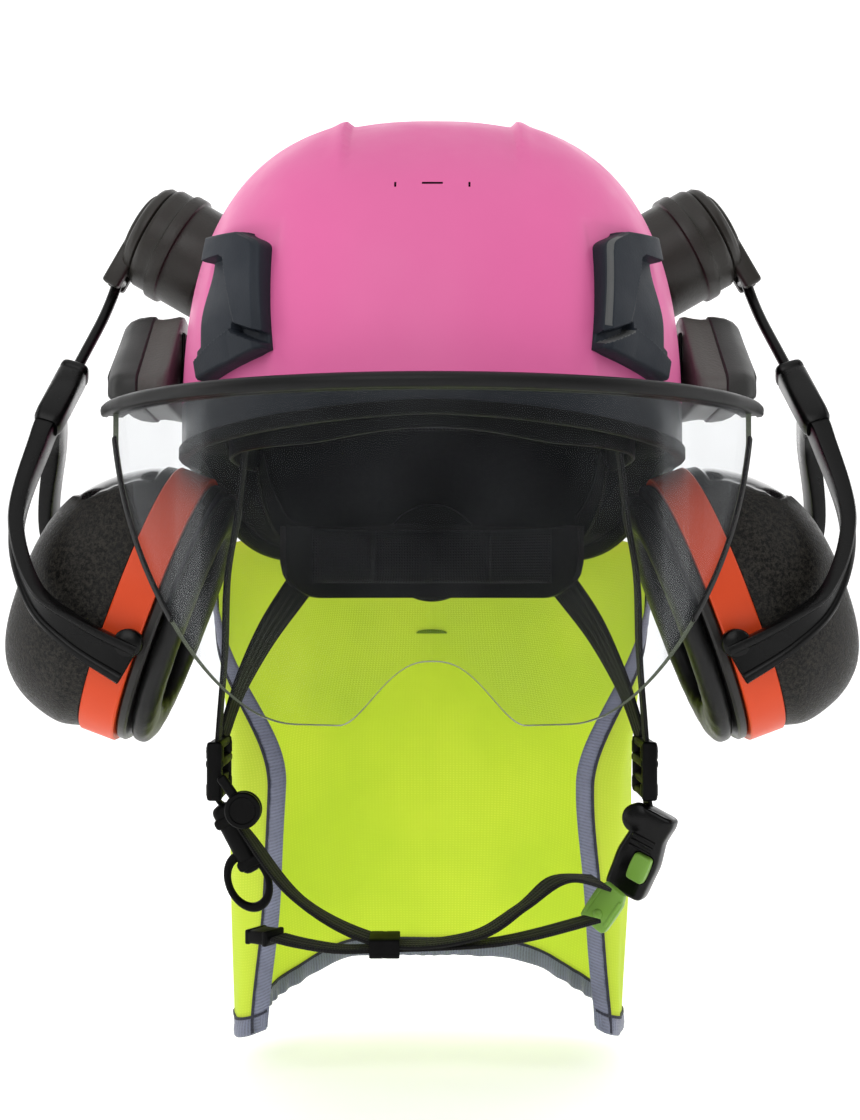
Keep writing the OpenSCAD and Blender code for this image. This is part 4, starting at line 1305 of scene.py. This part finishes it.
ADJUSTER_AT, LUG_Y, LUG_Z = (96, -1, -145), 15.8, (-136.8, -153.3)
for name, side in SIDES.items():
    plate = bar_ring("adjuster", 38, 26, 4.2, 6.8, ADJUSTER_AT, bars=[(3.2, 1.15), (-5.0, 0.8)])
    lip = block((3.2, 30, 5.0), (98.4, -1, -137.5), turned(0, 18), 1.4)
    lugs = [block((7.6, 5.6, 8.5), (ADJUSTER_AT[0], ADJUSTER_AT[1] + LUG_Y * s, z), bevel=2.2)
            for s in (-1, 1) for z in LUG_Z]
    piece = onto(side, joined(f"side_adjuster_{name}_frame", [plate, lip] + lugs))
    placed(piece, strap_plastic, "helmet", "buckle_plastic", f"side_adjuster_{name}")


def keeper():
    turn, at = np.eye(3), np.array([-19.6, -62, -211.8])
    outline = rounded(20, 8.4, 40, 0.32)
    inline = rounded(17, 5.6, 40, 0.32)
    rings = [[(x, u, v) for u, v in loop] for loop, x in
             ((outline * 0.97, -6.2), (outline, -5.4), (outline, -1.2), (outline * 0.985, -0.6),
              (outline * 0.985, 0.6), (outline, 1.2), (outline, 5.4), (outline * 0.97, 6.2), (inline, 6.1),
              (inline, -6.1))]
    return skin("strap_keeper_sleeve", moved(rings, turn, at), caps=False, loop=True)


placed(keeper(), rubber_black, "helmet", "buckle_plastic", "strap_keeper")
tip_turn = turned(0, 0, -32)
TIP_AT = (-71, -45.5, -211.5)
tip = joined("tail_tip_clip", [block((12, 13, 5.6), TIP_AT, tip_turn, 1.5),
                               block((2.2, 13.4, 6.4), moved([[4.4, 0, 0]], tip_turn, TIP_AT)[0], tip_turn,
                                     0.8),
                               block((2.2, 13.2, 6.2), moved([[-4.6, 0, 0]], tip_turn, TIP_AT)[0], tip_turn,
                                     0.8)])
placed(tip, strap_plastic, "helmet", "buckle_plastic", "tail_tip")

roller = skin("cam_roller_body", moved(lathe(
    [(2.2, 0.6), (5.6, 0.6), (6.0, 0), (7.4, 0), (8, 0.7), (8, 2.4), (7.3, 3.0), (7.3, 5.0), (8, 5.6),
     (8, 7.3), (7.4, 8), (6.0, 8), (5.6, 7.4), (2.2, 7.4)], 64), TO_BACK, (-82.5, -29, -161)))
axle = block((16, 3.4, 4.4), (-88, -25, -153), turned(0, 55, 0), 1.2)
roller = joined("cam_roller_body", [roller, axle])
placed(roller, strap_plastic, "helmet", "buckle_plastic", "cam_roller")


def oval_ring():
    """A ring of round wire, squeezed to an oval."""
    radius, wire, squeeze = 12, 2.2, 0.72
    ring = []
    for t in np.linspace(0, 2 * np.pi, 96, endpoint=False):
        ring.append([[(radius + wire * math.cos(q)) * math.cos(t) * squeeze,
                      (radius + wire * math.cos(q)) * math.sin(t), wire * math.sin(q)]
                     for q in np.linspace(0, 2 * np.pi, 20, endpoint=False)])
    spin = turned(0, 0, 24)
    lay = turned(90)
    return skin("strap_ring_wire", moved(moved(ring, spin), lay, (-81.4, -14, -194)), caps=False, loop=True)


placed(oval_ring(), rubber_black, "helmet", "buckle_plastic", "strap_ring")
SLIDER_TURN, SLIDER_AT = turned(0, -28, 0), (-86.5, -12, -175)
slider = joined("strap_slider_body", [
    block((9.5, 11, 33), SLIDER_AT, SLIDER_TURN, 3.2),
    block((11.5, 12.5, 5), moved([[0, 0, 9]], SLIDER_TURN, SLIDER_AT)[0], SLIDER_TURN, 1.8),
    block((11.0, 12.0, 5), moved([[0, 0, -12]], SLIDER_TURN, SLIDER_AT)[0], SLIDER_TURN, 1.8)])
placed(slider, strap_plastic, "helmet", "buckle_plastic")
placed(strap("buckle_link_web", [[96, -1, -150], [96.5, -4, -158], [97.5, -9, -167]], FACE_OUT[:3],
             count=30),
       webbing, "helmet", "webbing", angle=60)

BUCKLE_AT, BUCKLE_TURN = np.array([93, -14, -181]), turned(0, 24, -28)


def buckle():
    """The buckle's shell: a waisted body with a raised shoulder, a grip pad and the well for its button."""
    stations = [(-20, 15.5, 8.2), (-19.2, 17.4, 10.0), (-17, 18.8, 10.8), (-10, 19.4, 11.0),
                (-3, 19.9, 11.0), (3, 18.2, 10.6), (8, 16.6, 10.4), (12, 17.4, 10.6), (16, 18.6, 10.8),
                (19, 18.0, 10.2), (20, 16.0, 8.6)]
    stack = curve(stations, 70)
    rings = [[(x, y, z) for x, y in rounded(w, d, 48, 0.42)] for z, w, d in stack]
    body = skin("buckle_shell", moved(rings, BUCKLE_TURN, BUCKLE_AT))
    cut(body, block((9.8, 14, 13.6), (91, -20, -187), BUCKLE_TURN, 2.4, name="well"))
    throat = block((13.6, 6.6, 20), moved([[0, 0, -14]], BUCKLE_TURN, BUCKLE_AT)[0], BUCKLE_TURN, 0.8)
    cut(body, throat)
    knob = skin("knob", moved(lathe([(0.5, -3.2), (5.2, -3.2), (6.4, -2.4), (6.6, 0), (6.6, 2.4), (5, 3.2),
                                     (0.5, 3.2)],
                                    48), BUCKLE_TURN @ TO_BACK, moved([[-7.2, -2.2, 13.4]], BUCKLE_TURN,
                                                                      BUCKLE_AT)[0]))
    ribs = [block((11, 1.2, 1.3), moved([[0, -5.5, z]], BUCKLE_TURN, BUCKLE_AT)[0], BUCKLE_TURN, 0.4)
            for z in (2.0, 4.6, 7.2)]
    return joined("buckle_shell", [body, knob] + ribs)


placed(buckle(), buckle_black, "helmet", "buckle_plastic", "buckle_body")


def button():
    """The sprung button: a slim pad with a domed front face and a flange that keeps it in its well."""
    stations = [(-6.0, 6.6, 3.6), (-5.2, 8.0, 4.8), (-3, 8.6, 5.3), (0, 8.8, 5.5), (3, 8.6, 5.3),
                (5.2, 8.0, 4.8), (6.0, 6.6, 3.6)]
    rings = [[(x, y, z) for x, y in rounded(w, d, 40, 0.4)] for z, w, d in curve(stations, 50)]
    return skin("release_button_cap", moved(rings, BUCKLE_TURN, (91, -21.2, -187)))


placed(button(), buckle_green, "button", "green_plastic", "release_button")


def tongue():
    """The green tongue: a flat tab with rounded shoulders, a raised frame and a rivet."""
    turn, at = turned(0, 34, -28), np.array([75, -26, -203])
    stations = [(-10, 11.0, 3.4), (-9.2, 12.6, 4.6), (-7, 13.8, 5.0), (4, 14.0, 5.0), (7, 12.6, 5.0),
                (9.4, 10.8, 4.4), (10, 9.6, 3.4)]
    rings = [[(x, y, z) for x, y in rounded(w, d, 40, 0.36)] for z, w, d in curve(stations, 50)]
    tab = skin("tab", moved(rings, turn, at))
    rivet = skin("rivet", moved(lathe([(0.3, -3.4), (1.6, -3.3), (2.3, -2.7), (2.4, -2.2)], 32),
                                turn @ TO_BACK, moved([[0, 0, -3.5]], turn, at)[0]))
    frame_bars = [block((1.5, 1.4, 13.5), moved([[s * 5.4, -2.4, 0.5]], turn, at)[0], turn, 0.5)
                  for s in (-1, 1)]
    return joined("buckle_tongue_tab", [tab, rivet] + frame_bars)


placed(tongue(), buckle_green, "helmet", "green_plastic", "buckle_tongue")


def anchors():
    studs = []
    for side in (LEFT, RIGHT):
        top = skin("stud", moved(lathe([(0.4, 2), (2.2, 2), (2.5, 1.5), (4.6, 1.5), (5.6, 1.0), (6, 0.3),
                                        (6, 0)], 40),
                                 about_y(90), (81.2, -42, 0)))
        low = skin("stud", moved(lathe([(0.4, 2), (2.0, 2), (2.3, 1.5), (4.0, 1.4), (5, 0.8), (5, 0)], 40),
                                 turned(0, 0, 35) @ TO_BACK, (56, 82, -48)))
        studs += [onto(side, top), onto(side, low)]
    return joined("strap_anchor_studs", studs)


placed(anchors(), strap_plastic, "helmet", "harness_plastic", "strap_anchors")
print("fittings made")

# %% [markdown]
# ## The cape
# One piece of bright knit hangs from the shell's rim, wraps round both sides and folds forward into two
# flaps. A cut that follows a curved rail hardly needs a simulation: the sheet is drawn as rails at each
# height, then given the slack folds that gravity puts in hanging cloth. The binding is a strip that follows
# the same sheet.

# %% Cape cloth
CAPE_TOP, CAPE_HEM = -38, -259


def cape_rail(z, count=121):
    """Half the cape's line seen from above at one height, from its free edge to the middle of the back."""
    t = smooth((-z - 52) / 95)
    low = smooth((-z - 150) / 130)
    half = [[108 - 38 * t + 9 * low, 74 - 26 * t + 2 * low], [109 - 16 * t, 80 - 24 * t],
            [104 - 5 * t - 6 * low, 91 - 7 * t], [87 + t - 8 * low, 107 + 7 * t],
            [45, 138.5 - 4 * t - 2 * low], [0, 145.4 - 6 * t - 3 * low]]
    p = curve(np.array(half, float), count)
    step = np.linalg.norm(np.diff(p, axis=0), axis=1)
    s = np.concatenate([[0], np.cumsum(step)])
    even = np.linspace(0, s[-1], count)
    return np.stack([np.interp(even, s, p[:, k]) for k in (0, 1)], -1)


def cape_grid(rows=150):
    """The sheet's points, from the free edge on the right round to the one on the left, and its normals."""
    grid = []
    for t in np.linspace(0, 1, rows):
        half = cape_rail(CAPE_TOP + (CAPE_HEM - CAPE_TOP) * t)
        whole = np.concatenate([half, half[-2::-1] * [-1, 1]])
        x, y = whole[:, 0], whole[:, 1]
        z = (CAPE_TOP + (CAPE_HEM - CAPE_TOP) * t - 22 * t * smooth((np.abs(x) - 40) / 60)
             - 12 * (1 - t) * smooth((110 - y) / 50))
        grid.append(np.stack([x, y, z], -1))
    p = np.array(grid)
    u = np.linspace(-1, 1, p.shape[1])[None, :]
    t = np.linspace(0, 1, rows)[:, None]
    out = unit(np.cross(np.gradient(p, axis=1), np.gradient(p, axis=0)))
    out *= np.sign((out[..., :2] * p[..., :2]).sum(-1).mean())
    slack = smooth((t - 0.08) / 0.5)
    folds = (1.9 * np.sin(9.2 * u + 1.1 * np.sin(2.1 * t + 3 * u)) + 1.1 * np.sin(21 * u - 2.4 * t)
             + 0.5 * np.sin(43 * u + 5 * t)) * slack
    flap = smooth((np.abs(u) - 0.80) / 0.2)
    buckle_ = 1.6 * np.sin(17 * t + 4 * np.sign(u)) * flap * slack
    hem = 1.0 * np.sin(95 * u + 6 * np.sin(11 * u)) * smooth((t - 0.955) / 0.045)
    p = p + out * (folds + buckle_ + hem)[..., None]
    return p, out


cape_p, cape_n = cape_grid()


def sheet_solid(name, p, n, thick):
    """A thin closed cloth between two faces of a grid."""
    front, back = p + n * thick / 2, p - n * thick / 2
    obj = skin(name, np.concatenate([front, back[:, ::-1]], 1))
    return obj


cape = sheet_solid("neck_cape_cloth", cape_p, cape_n, 0.9)
placed(cape, hi_vis_knit, "helmet", "cape_cloth", "neck_cape", angle=60)


def along_edge(p, n, width, steps=9):
    """Points from the sheet's first column inwards, evenly spaced over that width, with their normals."""
    rows_p, rows_n = [], []
    for row, normals in zip(p, n):
        s = np.concatenate([[0], np.cumsum(np.linalg.norm(np.diff(row, axis=0), axis=1))])
        at = np.linspace(0, width, steps)
        rows_p.append(np.stack([np.interp(at, s, row[:, k]) for k in range(3)], -1))
        rows_n.append(unit(np.stack([np.interp(at, s, normals[:, k]) for k in range(3)], -1)))
    return np.array(rows_p), np.array(rows_n)


def binding(name, p, n, width=8.0, thick=2.2, ruffle=0.35):
    """A folded tape sewn over an edge of the sheet, rounded at the fold, slightly puckered by stitching."""
    q, m = along_edge(p, n, width)
    t = np.linspace(0, 1, len(q))[:, None]
    length = np.linalg.norm(np.diff(q[:, 0], axis=0), axis=1).sum()
    pucker = ruffle * np.sin(t * length * 0.75) * np.linspace(0.3, 1, q.shape[1])[None]
    half = thick / 2 * (0.55 + 0.45 * np.sin(np.linspace(0.12, 1, q.shape[1]) * np.pi * 0.94))[None, :, None]
    lip = q[:, :1] + unit(q[:, :1] - q[:, 1:2]) * 0.9
    front = q + m * (half + pucker[..., None] * 0.4)
    back = q - m * (half - pucker[..., None] * 0.4)
    return skin(name, np.concatenate([lip, front, back[:, ::-1]], 1))


def seam_line(name, p, n, at, thick=2.6, wide=1.3):
    """The dark stitched line that borders the tape on its inner side."""
    q, m = along_edge(p, n, at + wide, 3)
    q, m = q[:, 1:], m[:, 1:]
    q[:, 0] = q[:, 1] + unit(q[:, 0] - q[:, 1]) * wide
    return skin(name, np.concatenate([q + m * thick / 2, (q - m * thick / 2)[:, ::-1]], 1))


across = cape_p.transpose(1, 0, 2)[:, ::-1]
across_n = cape_n.transpose(1, 0, 2)[:, ::-1]
bindings = joined("cape_binding_tape", [
    binding("edge", cape_p, cape_n), binding("edge", cape_p[:, ::-1], cape_n[:, ::-1]),
    binding("hem", across, across_n, ruffle=0.8)])
placed(bindings, piping_cloth, "helmet", "cape_cloth", angle=60)
borders = joined("cape_binding_border", [
    seam_line("border", cape_p, cape_n, 7.6), seam_line("border", cape_p[:, ::-1], cape_n[:, ::-1], 7.6),
    seam_line("border", across, across_n, 7.6)])
placed(borders, piping_edge, "helmet", "cape_cloth", angle=60)


def cape_slot():
    """A stitched half-moon pull at the middle of the back."""
    rings = []
    for t in np.linspace(-1, 1, 30):
        x, rise = 8.2 * t, 1.7 * (1 - t * t) ** 0.5 + 0.15
        row = int(150 * (88 + CAPE_TOP) / (CAPE_TOP - CAPE_HEM))
        y = float(np.interp(x, cape_p[row, ::-1, 0], cape_p[row, ::-1, 1]))
        rings.append([(x, y - 1.3, -88 - 0.4), (x, y - 1.3, -88 + rise), (x, y + 0.2, -88 + rise),
                      (x, y + 0.2, -88.4)])
    return skin("cape_pull_slot", rings)


slot_green = woven("slot_stitching", (0.20, 0.33, 0.012), 0.07, 0.10, 0.8, 0.2)
placed(cape_slot(), slot_green, "helmet", "cape_cloth", angle=60)


def cape_snaps():
    """Snap studs that hold the cape to the shell."""
    studs = []
    for side in (LEFT, RIGHT):
        for a in (76, 52):
            turn = turned(0, 0, a - 90) @ TO_BACK
            studs.append(onto(side, skin("stud", moved(lathe(
                [(0.3, 6.2), (1.4, 6.2), (1.8, 5.6), (3.4, 5.7), (4.1, 5.3), (4.5, 4.4), (4.5, 0)], 40),
                turn, wall(rad(a), -42, 1.4)))))
    return joined("cape_snap_studs", studs)


placed(cape_snaps(), strap_plastic, "helmet", "clip_plastic", "cape_studs")
print("cape made")

# %% [markdown]
# ## Floor, light and camera
# A white sweep takes the place of a studio: it has no corner, so the light falls off softly. Large area
# lamps above and in front give the long soft highlights of moulded plastic, and the camera stands level in
# front.

# %% Studio sweep
def sweep():
    low = min(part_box(node)[0].z for node in ("neck_cape", "buckle_body")) / MM - 14
    rows = [(-4000, 0), (900, 0)]
    rows += [(900 + 700 * math.sin(t), 700 - 700 * math.cos(t)) for t in np.linspace(0.05, np.pi / 2, 20)]
    rows += [(1600, 5000)]
    rings = [[(x, y, low + z) for x in np.linspace(-5000, 5000, 9)] for y, z in rows]
    obj = skin("studio_sweep", rings, closed=False, caps=False)
    material, nodes, links, shader = shade("sweep_paper", 0.9)
    tone = remap(nodes, links, link_noise(nodes, links, 3), 0, 1)
    links.new(mix_colour(nodes, links, tone, (0.90, 0.90, 0.90), (0.92, 0.92, 0.92)),
              shader.inputs["Base Color"])
    shader.inputs["Emission Color"].default_value = (1, 1, 1, 1)
    shader.inputs["Emission Strength"].default_value = 0.42
    obj.data.materials.append(material)
    soften(obj, 60)
    return obj


sweep()


LAMPS_TOWARDS = Vector((0, 0, -60))


def lamp(name, at, size, watts):
    """A soft rectangular light of size metres, aimed at the middle of the helmet."""
    light = bpy.data.lights.new(name, "AREA")
    light.shape = "RECTANGLE"
    light.size, light.size_y = size
    light.energy = watts
    obj = bpy.data.objects.new(name, light)
    bpy.context.scene.collection.objects.link(obj)
    obj.location = Vector(at) * MM
    obj.rotation_euler = (LAMPS_TOWARDS - Vector(at)).to_track_quat("-Z", "Y").to_euler()
    return obj


lamp("top_softbox", (0, -350, 1150), (1.5, 1.2), 5)
lamp("front_softbox", (-350, -1500, 750), (1.2, 1.0), 10)
lamp("left_strip", (-1250, -100, 250), (0.4, 1.4), 5)
lamp("right_strip", (1250, -100, 250), (0.4, 1.4), 5)
lamp("back_softbox", (0, 900, 350), (1.6, 0.8), 4)
world = bpy.data.worlds.new("studio_air")
bpy.context.scene.world = world
world.use_nodes = True
world.node_tree.nodes["Background"].inputs["Color"].default_value = (1.0, 1.0, 1.0, 1)
world.node_tree.nodes["Background"].inputs["Strength"].default_value = 0.34

# %% Camera
CAMERA_AT = (-0.9, -750, -65)
LENS_LENGTH = 53.2
TILT_UP = 1.04
camera_data = bpy.data.cameras.new("camera")
camera_data.lens = LENS_LENGTH
camera_data.sensor_width = 36
camera_data.clip_start = 0.01
camera = bpy.data.objects.new("camera", camera_data)
bpy.context.scene.collection.objects.link(camera)
camera.location = Vector(CAMERA_AT) * MM
camera.rotation_euler = (math.radians(90 + TILT_UP), 0, 0)
bpy.context.scene.camera = camera
bpy.context.scene.view_settings.view_transform = "Standard"
